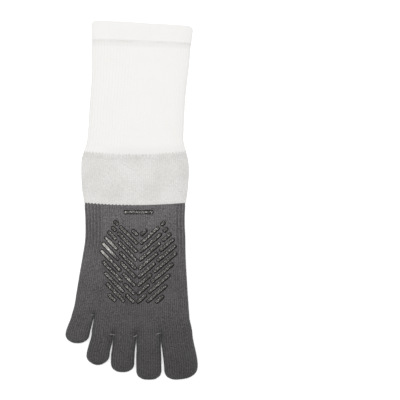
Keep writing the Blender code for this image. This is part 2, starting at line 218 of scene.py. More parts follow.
@dataclass(frozen=True)
class SockForm:
    """The sock's plain form, without its relief: the outer face of the knit.

    It is the solids' form, but for slightly lower toes, a squarer cuff and valleys nearer the toes.
    """

    y_tip: float = -179.75 * MM
    toe_length: float = 45.5 * MM
    fore_length: float = 19.5 * MM
    foot_length: float = 111.0 * MM
    band_length: float = 52.0 * MM
    leg_length: float = 110.0 * MM
    welt_length: float = 18.5 * MM
    foot_width: float = 117.5 * MM
    fore_width: float = 100.8 * MM
    band_width: float = 107.4 * MM
    leg_width: float = 96.0 * MM
    welt_width: float = 102.0 * MM
    foot_height: float = 12.0 * MM
    band_height: float = 15.5 * MM
    leg_height: float = 11.0 * MM
    toe_height: float = 9.6 * MM
    fold_radius: float = 3.0 * MM
    toe_fold_radius: float = 3.1 * MM
    crown_power: float = 3.0
    cuff_rise: float = 3.0 * MM
    cuff_run: float = 50.0 * MM
    corner_drop: float = 3.0 * MM
    corner_power: float = 36.0
    fore_shift: float = 0.3 * MM
    lobe_run: float = 9.0 * MM
    outline_steps: int = 181
    # Where a row of knit bows: y, how far its ends stand up, and how far the whole row is let down
    bows: Table = (
        (-60 * MM, 0.0, 0.0),
        (-3.75 * MM, 2.3 * MM, 1.3 * MM),
        (48.25 * MM, 3.3 * MM, 2.9 * MM),
        (95 * MM, 0.0, 0.0),
    )
    # From the sock's left to its right
    toes: tuple[Toe, ...] = (
        Toe("little_toe", 0.190, 0.628, -0.041, 0.15, 0.86, 0.00, 8 * MM, 2.2),
        Toe("fourth_toe", 0.172, 0.677, -0.034, 0.12, 0.92, 0.00, 12 * MM, 1.9),
        Toe("third_toe", 0.188, 0.835, -0.019, 0.08, 0.94, 0.00, 12.5 * MM, 2.4),
        Toe("second_toe", 0.196, 1.000, 0.002, 0.10, 0.97, 0.00, 14 * MM, 2.6),
        Toe("big_toe", 0.254, 0.990, 0.034, 0.09, 1.05, 0.11, 0.0, 2.7),
    )

    @property
    def y_toes(self) -> float:
        """The roots of the four longer toes."""
        return self.y_tip + self.toe_length

    @property
    def y_little(self) -> float:
        """The root of the little toe."""
        return self.y_toes + self.fore_length

    @property
    def y_foot(self) -> float:
        """Where the foot meets the heel band."""
        return self.y_little + self.foot_length

    @property
    def y_band(self) -> float:
        """Where the heel band meets the leg."""
        return self.y_foot + self.band_length

    @property
    def y_leg(self) -> float:
        """Where the leg meets the welt."""
        return self.y_band + self.leg_length

    @property
    def y_cuff(self) -> float:
        """The cuff's rim, at the middle."""
        return self.y_leg + self.welt_length

    @property
    def tubes(self) -> tuple[Tube, ...]:
        """The stretches from the little toe's root to the cuff.

        Returns:
            One tube each for foot, heel band, leg and welt.
        """
        return (
            Tube(self.y_little, self.foot_length, self.foot_width, self.foot_height, FOOT_SECTIONS),
            Tube(self.y_foot, self.band_length, self.band_width, self.band_height, BAND_SECTIONS),
            Tube(self.y_band, self.leg_length, self.leg_width, self.leg_height, LEG_SECTIONS),
            Tube(self.y_leg, self.welt_length, self.welt_width, self.leg_height, WELT_SECTIONS),
        )

    def section(self, y: Array) -> Array:
        """Centre, half width and height of the tube.

        Formula: a cubic Hermite curve through the tables' knots, with each knot's slope taken from its
        neighbours.

        Args:
            y: places along the sock.

        Returns:
            One row of centre, half width and height for each place.
        """
        knots = np.concatenate([tube.knots() for tube in self.tubes])
        places, values = knots[:, 0], knots[:, 1:]
        slopes = np.gradient(values, places, axis=0)
        i = np.clip(np.searchsorted(places, y) - 1, 0, len(places) - 2)
        step = (places[i + 1] - places[i])[:, None]
        s = (y - places[i])[:, None] / step
        eased = s * s * (3 - 2 * s)
        bend = s * (1 - s) * step
        return (
            values[i] * (1 - eased)
            + values[i + 1] * eased
            + bend * ((1 - s) * slopes[i] - s * slopes[i + 1])
        )

    def crown(self, t: Array, height: Array, radius: float) -> Array:
        """Height of the upper layer at t: the fold's radius, and the rest times sqrt(1 - |t|^3)."""
        full = np.sqrt(np.maximum(1 - np.abs(t) ** self.crown_power, 0))
        return radius + (height - radius) * full

    def underside(self, t: Array, half_width: Array, radius: float) -> Array:
        """Height of the lower layer at t: flat on the ground, then a quarter circle up into each fold."""
        reach = np.clip(1 - (1 - np.abs(t)) * half_width / radius, 0, 1)
        return radius * (1 - np.sqrt(1 - reach**2))

    def row_y(self, y: Array, t: Array) -> Array:
        """The y of a row's points, once the row bows, leans at the cuff and falls at its two corners.

        Formula: y, plus the bow times t^2 and less the letting down, less the lean times t, less the
        corner's drop times a high power of |t|.

        Args:
            y: the rows' places at the middle, one row each.
            t: places across, one column each.

        Returns:
            The y of every point.
        """
        places, bows, downs = np.array(self.bows).T
        bowed = np.interp(y, places, bows) * t**2 - np.interp(y, places, downs)
        lean = self.cuff_rise * np.clip((y - self.y_cuff) / self.cuff_run + 1, 0, 1)
        corner = self.corner_drop * ease((y - self.y_leg) / self.welt_length)
        return y + bowed - lean * t - corner * np.abs(t) ** self.corner_power

    def tube_grid(self, y: Array, columns: int, step_out: float = 0.0) -> tuple[Array, Array]:
        """A grid round the sock, with its columns evenly spaced along each row's outline.

        Formula: the crown and the underside joined into one closed path, walked in equal steps.

        Args:
            y: the rows' places at the middle.
            columns: how many columns go round.
            step_out: how far the surface stands out from the plain form.

        Returns:
            The points, and each point's place t across.
        """
        centre, half, height = self.section(y).T[:, :, None]
        half, height = half + step_out, height + step_out
        t = -np.cos(np.linspace(0, np.pi, self.outline_steps))[None]
        across = np.concatenate([half * t, (half * t)[:, -2::-1]], axis=1)
        upper = self.crown(t, height, self.fold_radius)
        lower = self.underside(t, half, self.fold_radius)
        up = np.concatenate([upper, lower[:, -2::-1]], axis=1)
        steps = np.hypot(np.diff(across, prepend=across[:, :1]), np.diff(up, prepend=up[:, :1]))
        walked = np.cumsum(steps, axis=1)
        stops = np.linspace(0, 1, columns, endpoint=False) * walked[:, -1:]
        x = np.stack([np.interp(*row) for row in zip(stops, walked, across)])
        z = np.stack([np.interp(*row) for row in zip(stops, walked, up)])
        t = x / half
        return np.stack([centre + x, self.row_y(y[:, None], t), z], axis=-1), t


FOOT_SECTIONS: Table = (
    (0.00, -0.013, 1.000, 0.95),
    (0.08, -0.005, 0.973, 0.98),
    (0.19, 0.000, 0.948, 1.00),
    (0.35, 0.008, 0.914, 1.00),
    (0.51, 0.017, 0.880, 1.00),
    (0.68, 0.028, 0.853, 1.00),
    (0.84, 0.026, 0.846, 1.01),
    (1.00, 0.025, 0.863, 1.06),
)
BAND_SECTIONS: Table = (
    (0.23, 0.027, 0.980, 0.95),
    (0.46, 0.028, 1.000, 1.00),
    (0.69, 0.028, 1.000, 0.92),
    (0.88, 0.025, 0.984, 0.73),
    (1.00, 0.026, 0.954, 0.68),
)
LEG_SECTIONS: Table = (
    (0.07, 0.032, 1.017, 1.00),
    (0.20, 0.041, 0.995, 1.02),
    (0.40, 0.052, 0.994, 1.00),
    (0.62, 0.073, 0.994, 0.97),
    (0.84, 0.091, 1.020, 0.92),
)
WELT_SECTIONS: Table = (
    (0.00, 0.093, 0.969, 0.90),
    (1.00, 0.099, 0.989, 0.86),
)


@dataclass
class KnitMesh:
    """Points, faces and stitch counts of one piece while it is being made."""

    points: list[Array] = field(default_factory=list)
    faces: list[Array] = field(default_factory=list)
    counts: list[Array] = field(default_factory=list)
    size: int = 0

    def add_points(self, points: Array) -> Array:
        """Takes in points of any grid shape.

        Args:
            points: the points, with x, y and z last.

        Returns:
            The points' numbers, in the same grid shape.
        """
        flat = points.reshape(-1, 3)
        numbers = self.size + np.arange(len(flat))
        self.points.append(flat)
        self.size += len(flat)
        return numbers.reshape(points.shape[:-1])

    def add_grid(self, numbers: Array, count: Array) -> None:
        """Lays faces on rows that run towards the toes, left to right above, fronts outwards."""
        self.faces.append(self._corners(numbers))
        self.counts.append(self._corners(count))

    def add_ring_grid(self, numbers: Array, count: Array) -> None:
        """Lays a grid whose last column meets its first again; the count has one column more."""
        self.add_grid(np.concatenate([numbers, numbers[:, :1]], axis=1), count)

    def close_end(self, ring: Array, count: Array, bulge: float = 0.0) -> None:
        """Closes a grid's last row with a fan to one point in its middle; a first row comes in reversed.

        Args:
            ring: the row's point numbers.
            count: wales and courses, for each point of the row or for all of them.
            bulge: how far the middle point stands out towards the toes.
        """
        middle = self.flat[ring].mean(axis=0) - np.array((0.0, bulge, 0.0))
        pole = np.repeat(self.add_points(middle[None]), len(ring))
        self.faces.append(np.stack([np.roll(ring, -1), ring, pole, pole], axis=1))
        self.counts.append(np.broadcast_to(np.reshape(count, (-1, 1, 2)), (len(ring), 4, 2)))

    def add_tube(self, points: Array, count: Array, end_count: Array) -> None:
        """Adds a tube whose rows are rings, with both ends closed.

        Args:
            points: the rings, from first to last.
            count: wales and courses at each point, with one column more.
            end_count: the count at both ends.
        """
        numbers = self.add_points(points)
        self.add_ring_grid(numbers[::-1], count[::-1])
        for ring in (numbers[0], numbers[-1][::-1]):
            self.close_end(ring, end_count)

    def add_torus(self, points: Array, count: Array) -> None:
        """Adds a grid that closes on itself both ways; the count has one row and one column more."""
        numbers = self.add_points(points)
        self.add_ring_grid(np.concatenate([numbers, numbers[:1]]), count)

    def add_quads(self, quads: Array, count: Array) -> None:
        """Adds loose faces, four point numbers each, all at one stitch count."""
        self.faces.append(np.asarray(quads))
        self.counts.append(np.broadcast_to(count, (len(quads), 4, 2)))

    @staticmethod
    def _corners(grid: Array) -> Array:
        """The four corners of every cell of a grid, in turn."""
        cells = (grid[:-1, :-1], grid[1:, :-1], grid[1:, 1:], grid[:-1, 1:])
        return np.stack(cells, axis=2).reshape(-1, 4, *grid.shape[2:])

    @property
    def flat(self) -> Array:
        """All points so far, one row each."""
        return np.concatenate(self.points)

    def normals(self) -> Array:
        """The outward unit normals of all points so far."""
        return vertex_normals(self.flat, np.concatenate(self.faces))

    def raised(self, relief: Array) -> Array:
        """All points, moved out by a relief along their normals and kept on or above the ground."""
        return settle(self.flat + self.normals() * relief[:, None])

    def to_object(
        self, name: str, points: Array, material: Material, groove: Array | float = 0.0, wall: float = 0.0
    ) -> Object:
        """Makes the piece. A face whose last two corners are one point becomes a triangle.

        Args:
            name: the piece's name.
            points: the points as they finally lie.
            material: the piece's finish.
            groove: how far each point is darkened, from 0 to 1: mostly painted shade deep in grooves, pleats,
                creases and dips of the knit, and on the grip how near an edge it is.
            wall: the thickness of its wall, if it is an open surface.

        Returns:
            The new object, in the scene.
        """
        faces, counts = np.concatenate(self.faces), np.concatenate(self.counts)
        solid = faces[:, 3] != faces[:, 2]
        mesh = bpy.data.meshes.new(name)
        mesh.from_pydata(points.tolist(), [], faces[solid].tolist() + faces[~solid][:, :3].tolist())
        corner_counts = np.concatenate([counts[solid].reshape(-1, 2), counts[~solid][:, :3].reshape(-1, 2)])
        layer = mesh.uv_layers.new(name=KNIT_MAP)
        layer.data.foreach_set("uv", corner_counts.astype(np.float32).ravel())
        depth = mesh.attributes.new(GROOVE, "FLOAT", "POINT")
        depth.data.foreach_set("value", np.broadcast_to(groove, len(points)).astype(np.float32))
        mesh.shade_smooth()
        mesh.materials.append(material)
        mesh.update()
        piece = bpy.data.objects.new(name, mesh)
        bpy.context.scene.collection.objects.link(piece)
        if wall:
            give_wall(piece, wall)
        return piece


def give_wall(piece: Object, thickness: float) -> None:
    """Gives a knitted surface its thickness, all of it on the inner side, with crisp open ends.

    Formula: an edge is at an open end where only one face uses it.

    Args:
        piece: the piece.
        thickness: the wall's thickness.
    """
    mesh = piece.data
    used = np.zeros(len(mesh.loops), np.int32)
    mesh.loops.foreach_get("edge_index", used)
    ends = np.bincount(used, minlength=len(mesh.edges)) == 1
    mesh.attributes.new("sharp_edge", "BOOLEAN", "EDGE").data.foreach_set("value", ends)
    wall = piece.modifiers.new("Knit wall", "SOLIDIFY")
    wall.thickness = thickness
    wall.offset = -1.0
    wall.use_even_offset = False


def place(piece: Object, slot: Slot, *nodes: str) -> None:
    """Ties a finished piece to the frame and reports it.

    Args:
        piece: the piece.
        slot: the material slot of its finish; not used.
        nodes: the solids that it stands for, if any.
    """
    if nodes:
        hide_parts(*nodes)
    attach(piece, BODY)
    triangles = len(piece.data.loops) - 2 * len(piece.data.polygons)
    solids = ", ".join(nodes) or "no solid"
    log.info("%s: %d triangles before its wall, for %s", piece.name, triangles, solids)


class Wiring:
    """A material's node tree, with short ways to add to it."""

    def __init__(self, name: str) -> None:
        """Starts a Principled material.

        Args:
            name: the material's name.
        """
        self.material = bpy.data.materials.new(name)
        self.material.use_nodes = True
        self.tree = self.material.node_tree
        self.shader = self.tree.nodes["Principled BSDF"]

    def feed(self, value: Value, socket: Socket) -> None:
        """Links a socket to another, or sets its value.

        Args:
            value: a socket, a number, a vector or a linear colour.
            socket: the socket that takes it.
        """
        if isinstance(value, Socket):
            self.tree.links.new(value, socket)
        else:
            socket.default_value = (*value, 1.0) if socket.type == "RGBA" else value

    def add(self, kind: str, inputs: dict[int | str, Value], **settings: object) -> bpy.types.Node:
        """Adds a node.

        Args:
            kind: the node's type.
            inputs: what its sockets take, by their numbers or names.
            settings: its properties.

        Returns:
            The node.
        """
        node = self.tree.nodes.new(kind)
        for key, setting in settings.items():
            setattr(node, key, setting)
        for key, value in inputs.items():
            self.feed(value, node.inputs[key])
        return node

    def math(self, operation: str, *values: Value) -> Socket:
        """The result of a Math node on sockets or numbers."""
        return self.add("ShaderNodeMath", dict(enumerate(values)), operation=operation).outputs[0]

    def product(self, *factors: Value) -> Socket:
        """All factors multiplied."""
        return reduce(lambda so_far, factor: self.math("MULTIPLY", so_far, factor), factors)

    def line(self, value: Value, slope: Value, level: Value) -> Socket:
        """The value times a slope, plus a level."""
        return self.math("MULTIPLY_ADD", value, slope, level)

    def spread(self, value: Value, source: Pair, target: Pair = (0.0, 1.0), smooth: bool = False) -> Socket:
        """A value moved from one range to another and held there.

        Args:
            value: the value.
            source: the range that it comes from.
            target: the range that it goes to.
            smooth: whether the way between is a smooth step.

        Returns:
            The moved value.
        """
        inputs = dict(enumerate((value, *source, *target)))
        kind = "SMOOTHSTEP" if smooth else "LINEAR"
        return self.add("ShaderNodeMapRange", inputs, interpolation_type=kind).outputs[0]

    def mix(self, share: Value, first: Value, second: Value) -> Socket:
        """A colour between two others."""
        return self.add("ShaderNodeMix", {"Factor": share, 6: first, 7: second}, data_type="RGBA").outputs[2]

    def scaled(self, colour: Value, by: Value) -> Socket:
        """A colour made lighter or darker by a factor."""
        return self.add("ShaderNodeVectorMath", {0: colour, "Scale": by}, operation="SCALE").outputs[0]

    def noise(self, vector: Value, scale: float, detail: float = 2.0) -> Socket:
        """Noise from 0 to 1 at points of a vector."""
        inputs = {"Vector": vector, "Scale": scale, "Detail": detail}
        return self.add("ShaderNodeTexNoise", inputs).outputs[0]

    def parts(self, vector: Value) -> tuple[Socket, ...]:
        """The x, y and z of a vector."""
        return tuple(self.add("ShaderNodeSeparateXYZ", {0: vector}).outputs)

    def spot(self) -> Socket:
        """Object coordinates."""
        return self.add("ShaderNodeTexCoord", {}).outputs["Object"]

    def knit_count(self) -> Socket:
        """The knit's UV map."""
        return self.add("ShaderNodeUVMap", {}, uv_map=KNIT_MAP).outputs[0]

    def groove(self) -> Socket:
        """How far a point is darkened: painted shade deep in a groove, pleat, crease or dip, and on the grip
        how near an edge it is.
        """
        return self.add("ShaderNodeAttribute", {}, attribute_name=GROOVE).outputs["Fac"]

    def bump(self, height: Value, strength: float, distance: float) -> Socket:
        """Normals roughened by a height."""
        inputs = {"Strength": strength, "Distance": distance, "Height": height}
        return self.add("ShaderNodeBump", inputs).outputs[0]

    def dress(self, **sockets: Value) -> Material:
        """Sets or links the shader's sockets.

        Args:
            sockets: what they take, by their names with underscores for spaces.

        Returns:
            The finished material.
        """
        for key, value in sockets.items():
            self.feed(value, self.shader.inputs[key.replace("_", " ")])
        return self.material


@dataclass(frozen=True)
class KnitFinish:
    """A plain-knitted cloth: two shades of yarn, heather along the wales, stitches and fuzz, with painted
    shade in its grooves and between its wales.
    """

    name: str
    light: Colour
    dark: Colour
    heather: float  # how far single fibres stray between the two shades
    cloudiness: float  # how far the shade drifts over a few centimetres
    groove_shade: float  # brightness at the bottom of a rib's groove, as a share: painted shade
    stitch: float  # strength of the stitches' relief
    depth: float  # how much darker the knit is between its wales, as a share: painted shade, which also darkens the low parts of the stitches
    painted_fall_along: float = 0.0  # growth of the brightness for each metre towards the cuff, as an exponent: painted shade, darker towards the toes
    painted_fall_across: float = 0.0  # the same towards the right, also painted shade
    sheen: float = 0.15
    fibre_scale: float = 1300.0  # for each metre, as all scales of noise
    fibre_stretch: Vector = (1.0, 0.6, 1.0)
    cloud_scale: float = 55.0
    fuzz_scale: float = 2600.0
    loop_share: float = 0.42  # how much of a stitch's height comes and goes along its leg
    fuzz_share: float = 0.5  # how much of the relief is fuzz
    stitch_height: float = 0.4 * MM
    roughness: Pair = (0.82, 1.0)
    specular: float = 0.25
    sheen_roughness: float = 0.6

    def stitches(self, wiring: Wiring) -> tuple[Socket, Socket]:
        """Relief of plain knitting.

        Formula: each wale holds two slanting legs of yarn. Across a leg the height is 1 - y^2, and along
        it a sine of the course, shifted by the leg's slant, draws the loops one above another.

        Args:
            wiring: the material's node tree.

        Returns:
            The height, from 0 to about 1, and the nearness to the border of a wale, from 0 to 1.
        """
        wale, course, _ = wiring.parts(wiring.knit_count())
        in_wale = wiring.math("ABSOLUTE", wiring.line(wiring.math("FRACT", wale), 2.0, -1.0))
        in_leg = wiring.line(in_wale, 2.0, -1.0)
        across = wiring.math("SUBTRACT", 1.0, wiring.product(in_leg, in_leg))
        loops = wiring.math("SINE", wiring.product(wiring.line(in_wale, 0.5, course), 2 * np.pi))
        return wiring.product(across, wiring.line(loops, self.loop_share, 1 - self.loop_share)), in_wale

    def colour(self, wiring: Wiring, fibres: Socket) -> Socket:
        """The yarn's own colour.

        Formula: a place between the two shades, moved by fine noise, by slow noise and held from 0 to 1.

        Args:
            wiring: the material's node tree.
            fibres: the fine noise.

        Returns:
            The colour.
        """
        clouds = wiring.noise(wiring.spot(), self.cloud_scale, 3.0)
        share = wiring.line(wiring.math("SUBTRACT", fibres, 0.5), self.heather, 0.5)
        share = wiring.line(wiring.math("SUBTRACT", clouds, 0.5), self.cloudiness, share)
        return wiring.mix(wiring.spread(share, (0.0, 1.0)), self.dark, self.light)

    def shade(self, wiring: Wiring, stitches: Socket, border: Socket) -> Socket:
        """How dark the knit is, as a factor.

        Formula: a product of falls of painted shade in the ribs' grooves, at the wales' borders and low on
        the stitches, and of e to a sum of x and y, a painted fall of light.

        Args:
            wiring: the material's node tree.
            stitches: the stitches' height.
            border: the nearness to the border of a wale.

        Returns:
            The factor, from 0 to 1 but for the last of its parts.
        """
        x, y, _ = wiring.parts(wiring.spot())
        painted_fall = wiring.line(y, self.painted_fall_along, wiring.product(x, self.painted_fall_across))
        return wiring.product(
            wiring.spread(wiring.groove(), (0.0, 1.0), (1.0, self.groove_shade)),
            wiring.spread(wiring.product(border, border), (0.0, 1.0), (1.0, 1 - self.depth)),
            wiring.spread(stitches, (0.0, 0.8), (1 - 0.7 * self.depth, 1.0)),
            wiring.math("EXPONENT", painted_fall),
        )

    def material(self) -> Material:
        """The finish as a material.

        Returns:
            The material.
        """
        wiring = Wiring(self.name)
        stitches, border = self.stitches(wiring)
        inputs = {0: wiring.spot(), 1: self.fibre_stretch}
        stretched = wiring.add("ShaderNodeVectorMath", inputs, operation="MULTIPLY").outputs[0]
        fibres = wiring.noise(stretched, self.fibre_scale, 3.0)
        fuzz = wiring.noise(wiring.spot(), self.fuzz_scale)
        return wiring.dress(
            Base_Color=wiring.scaled(self.colour(wiring, fibres), self.shade(wiring, stitches, border)),
            Roughness=wiring.spread(fibres, (0.2, 0.8), self.roughness),
            Specular_IOR_Level=self.specular,
            Sheen_Weight=self.sheen,
            Sheen_Roughness=self.sheen_roughness,
            Normal=wiring.bump(wiring.line(fuzz, self.fuzz_share, stitches), self.stitch, self.stitch_height),
        )


WHITE_FINISH = KnitFinish(
    "white_rib_knit", srgb(228, 227, 225.5), srgb(221, 220, 217.5), 0.8, 0.4, 0.94, 0.3, 0.03
)
GREY_FINISH = KnitFinish(
    "grey_heather_knit", srgb(225, 224, 222), srgb(195, 194, 191), 2.0, 0.8, 0.91, 0.4, 0.08
)
# The charcoal knit darkens towards the toes and towards the right: painted shade.
DARK_FINISH = KnitFinish(
    "charcoal_knit", srgb(142, 139, 140.5), srgb(79, 76.5, 78), 2.6, 0.5, 0.54, 0.7, 0.5,
    painted_fall_along=5.0, painted_fall_across=-0.65, sheen=0.05,
)


@dataclass(frozen=True)
class SiliconeFinish:
    """Printed grip: a grey top full of glossy grains with painted glints, between two near-black edges that
    are partly dark silicone and partly painted shade.
    """

    name: str = "grained_silicone"
    # near-black edges: partly the dark silicone of the strips' sides, partly painted shade
    edge: Colour = field(default_factory=lambda: srgb(9, 8, 8))
    top: Colour = field(default_factory=lambda: srgb(64, 62, 60))
    # painted glints on the grains
    grain_glint: Colour = field(default_factory=lambda: srgb(232, 230, 224))
    grain_count: float = 1000.0  # for each metre
    rim_run: Pair = (0.52, 0.64)  # nearness to the edge over which the top turns into the edge
    shine_slope: Pair = (-8.0, 4.0)  # growth of the shine for each metre of x and of y
    shine_run: Pair = (-0.7, 0.05)
    streak_middle: Vector = (-26 * MM, -48 * MM, 12 * MM)  # where the grains catch the light
    streak_run: Pair = (4 * MM, 13 * MM)  # distance from there over which the streak dies away
    streak_strength: float = 0.34
    streak_scale: float = 700.0  # of the noise that breaks the streak up
    patch_scale: float = 500.0  # of the noise that darkens the top in patches
    patch_share: float = 0.45
    roughness: Pair = (0.5, 0.3)  # between the grains and on them
    specular: float = 0.15
    grain_height: float = 0.25 * MM

    def grains(self, wiring: Wiring) -> tuple[Socket, Socket]:
        """The grains in the silicone.

        Formula: a soft dot in each cell of a Voronoi pattern, lit by the cell's own random number.

        Args:
            wiring: the material's node tree.

        Returns:
            The grains' height and their painted glint, each from 0 to 1.
        """
        inputs = {"Vector": wiring.spot(), "Scale": self.grain_count}
        cells = wiring.add("ShaderNodeTexVoronoi", inputs).outputs
        height = wiring.spread(cells["Distance"], (0.15, 0.5), (1.0, 0.0), smooth=True)
        lit = wiring.spread(wiring.parts(cells["Color"])[0], (0.2, 0.85), (0.2, 1.0), smooth=True)
        return height, wiring.product(height, lit)

    def streak(self, wiring: Wiring) -> Socket:
        """The pale streak at the left, where the print turns to the light.

        Formula: a smooth fall with the distance from its middle, times uneven noise.

        Args:
            wiring: the material's node tree.

        Returns:
            The brightness that it adds.
        """
        inputs = {0: wiring.spot(), 1: self.streak_middle}
        far = wiring.add("ShaderNodeVectorMath", inputs, operation="DISTANCE").outputs["Value"]
        near = wiring.spread(far, self.streak_run, (self.streak_strength, 0.0), smooth=True)
        uneven = wiring.spread(wiring.noise(wiring.spot(), self.streak_scale), (0.35, 0.6), (0.5, 1.15))
        return wiring.product(near, uneven)

    def material(self) -> Material:
        """The finish as a material.

        Returns:
            The material.
        """
        wiring = Wiring(self.name)
        height, lit = self.grains(wiring)
        x, y, _ = wiring.parts(wiring.spot())
        # painted glints: the grains are brighter towards the upper left, and brightest in a painted highlight
        # streak
        shine = wiring.line(y, self.shine_slope[1], wiring.product(x, self.shine_slope[0]))
        bright = wiring.product(lit, wiring.spread(shine, self.shine_run, (0.6, 1.0)))
        bright = wiring.line(bright, 0.95, self.streak(wiring))
        patches = wiring.noise(wiring.spot(), self.patch_scale)
        uneven = wiring.spread(patches, (0.3, 0.6), (self.patch_share, 0.0))
        top = wiring.mix(bright, wiring.mix(uneven, self.top, self.edge), self.grain_glint)
        rim = wiring.spread(wiring.groove(), self.rim_run, smooth=True)
        return wiring.dress(
            Base_Color=wiring.mix(rim, top, self.edge),
            Roughness=wiring.spread(height, (0.0, 1.0), self.roughness),
            Specular_IOR_Level=self.specular,
            Normal=wiring.bump(height, 0.5, self.grain_height),
        )


@dataclass(frozen=True)
class ThreadFinish:
    """Twisted sewing thread."""

    name: str
    colour: Colour
    shade: float = 0.7  # brightness in the twist's grooves, as a share: painted shade
    roughness: float = 0.8
    specular: float = 0.3
    ply_height: float = 0.1 * MM

    def material(self) -> Material:
        """The finish as a material.

        Formula: a sine of the count along the thread and round it draws the plies, with painted shade in the
        twist's grooves.

        Returns:
            The material.
        """
        wiring = Wiring(self.name)
        along, around, _ = wiring.parts(wiring.knit_count())
        twist = wiring.math("SINE", wiring.product(wiring.line(along, 2.0, around), 2 * np.pi))
        ply = wiring.line(twist, 0.5, 0.5)
        return wiring.dress(
            Base_Color=wiring.scaled(self.colour, wiring.spread(ply, (0.0, 1.0), (self.shade, 1.0))),
            Roughness=self.roughness,
            Specular_IOR_Level=self.specular,
            Normal=wiring.bump(ply, 0.4, self.ply_height),
        )


@dataclass
class Leg:
    """The ribbed tube from the heel band up under the welt."""

    form: SockForm
    ribs: int = 64
    columns_per_rib: int = 6
    row_step: float = 1.5 * MM
    tuck: float = 2.5 * MM  # how far it runs on under the hem
    rib_depth: float = 0.18 * MM
    # weight of the painted shade in the ribs' grooves
    rib_shade: float = 0.6
    rib_least: float = 0.15  # what is left of the ribs at both ends of the leg
    pucker_depth: float = 0.18 * MM
    rib_rise: float = 6 * MM  # above the band, over which the ribs come up
    rib_fall: Pair = (1.5 * MM, -5 * MM)  # where they are gone past the hem's edge, and the run back
    gather: Pair = (0.5 * MM, 6.5 * MM)  # from and to how far below the hem it is gathered
    gather_runs: Pair = (1.5 * MM, -2.5 * MM)  # over which the gathering comes and goes
    pleat_columns: int = 4
    # painted shade below the hem, where the leg is gathered
    gather_shade: float = 0.7
    tooth: float = 1.1 * MM  # how far the ribs reach into the heel band
    tooth_run: float = 2.2 * MM  # how soon the rows become straight again
    tooth_beats: int = 23  # how often the teeth grow and shrink again round the leg
    edge_shade: float = 0.8
    edge_run: float = 2 * MM  # height of the shade right above the band
    dusk_shade: float = 0.75
    dusk_reach: float = 10 * MM  # how far above the band a softer painted shade begins
    dusk_run: float = 8 * MM  # over what length it deepens
    dusk_side: Pair = (-0.8, 0.45)  # the place across where it begins, and the run over which it comes in
    wall: float = 1.2 * MM
    # How strongly the ribs stand out, at places across
    rib_show: Table = (
        (-1.0, 1.0), (-0.75, 0.9), (-0.35, 0.5), (0.0, 0.15), (0.7, 0.15), (0.9, 0.5), (1.0, 0.8),
    )

    @property
    def columns(self) -> int:
        """How many columns go round."""
        return self.ribs * self.columns_per_rib

    def rib_phase(self) -> Array:
        """Each column's place in its rib, from 0 to 1."""
        return np.arange(self.columns) / self.columns_per_rib % 1

    def under_hem(self, y: Array) -> Array:
        """How near each row is to the few millimetres below the hem, from 0 to 1."""
        (start, end), (start_run, end_run) = self.gather, self.gather_runs
        return rising(self.form.y_leg - y, start, start_run) * rising(self.form.y_leg - y, end, end_run)

    def puckers(self, y: Array) -> Array:
        """Short pleats where the leg is gathered under the hem, from 0 to about 1.

        Formula: bells a few columns apart, uneven from one to the next, over the gathered rows.

        Args:
            y: the rows' places at the middle.

        Returns:
            The depth of every grid point.
        """
        number, phase = np.divmod(np.arange(self.columns) / self.pleat_columns, 1)
        uneven = 0.55 + 0.45 * np.sin(number * 2.4) * np.sin(number * 0.37)
        pleat = bump_at(np.abs(phase - 0.5), 0.0, 0.3)
        return self.under_hem(y)[:, None] * (pleat * uneven)[None]

    def teeth(self, y: Array) -> Array:
        """How far rows near the heel band's top are drawn down on each rib.

        Formula: an uneven cosine of the rib's phase, dying away from the boundary as e to minus a distance.

        Args:
            y: the rows' places at the middle.

        Returns:
            The drop of every grid point.
        """
        near = np.exp(-np.abs(y - self.form.y_band) / self.tooth_run)
        uneven = 0.7 + 0.3 * np.sin(2 * np.pi * self.tooth_beats * np.arange(self.columns) / self.columns)
        return self.tooth * near[:, None] * (uneven * np.cos(2 * np.pi * self.rib_phase()))[None]

    def grooves(self, y: Array, t: Array) -> Array:
        """The ribs' grooves, from 0 to 1.

        Formula: a narrow bell at the edge of each rib, by how strongly it stands out and fainter at the ends.

        Args:
            y: the rows' places at the middle.
            t: every point's place across.

        Returns:
            The depth of every grid point.
        """
        beyond, fall = self.rib_fall
        ends = rising(y, self.form.y_band, self.rib_rise) * rising(y, self.form.y_leg + beyond, fall)
        bells = bump_at(np.abs(self.rib_phase() - 0.5)[None], 0.0, 0.2)
        shown = np.interp(t, *np.array(self.rib_show).T)
        return bells * shown * (self.rib_least + (1 - self.rib_least) * ends[:, None])

    def build(self, material: Material) -> Object:
        """Builds the leg.

        Formula: the plain tube, sunk along its normals in the grooves and the pleats. Its colour is darkened
        by painted shade in the grooves, in the pleats, below the hem and just above the band, deeper to the
        right, and by a darker line right on the band's edge.

        Args:
            material: the white finish.

        Returns:
            The leg.
        """
        form = self.form
        length = form.leg_length + self.tuck
        y = form.y_band + length * np.linspace(1, 0, round(length / self.row_step) + 1)
        points, t = form.tube_grid(y, self.columns)
        points[..., 1] -= self.teeth(y)
        mesh = KnitMesh()
        mesh.add_ring_grid(mesh.add_points(points), stitch_count(y, self.columns + 1, self.ribs * 2))
        groove, pucker = self.grooves(y, t), self.puckers(y)
        relief = -self.rib_depth * groove.ravel() - self.pucker_depth * pucker.ravel() + undulation(mesh.flat)
        shade = self.rib_shade * groove + pucker + self.gather_shade * self.under_hem(y)[:, None]
        shade += self.edge_shade * rising(y, form.y_band + self.edge_run, -self.edge_run)[:, None]
        dusk = self.dusk_shade * rising(y, form.y_band + self.dusk_reach, -self.dusk_run)
        shade += dusk[:, None] * rising(t, *self.dusk_side)
        return mesh.to_object("leg_knit", mesh.raised(relief), material, shade.ravel(), self.wall)


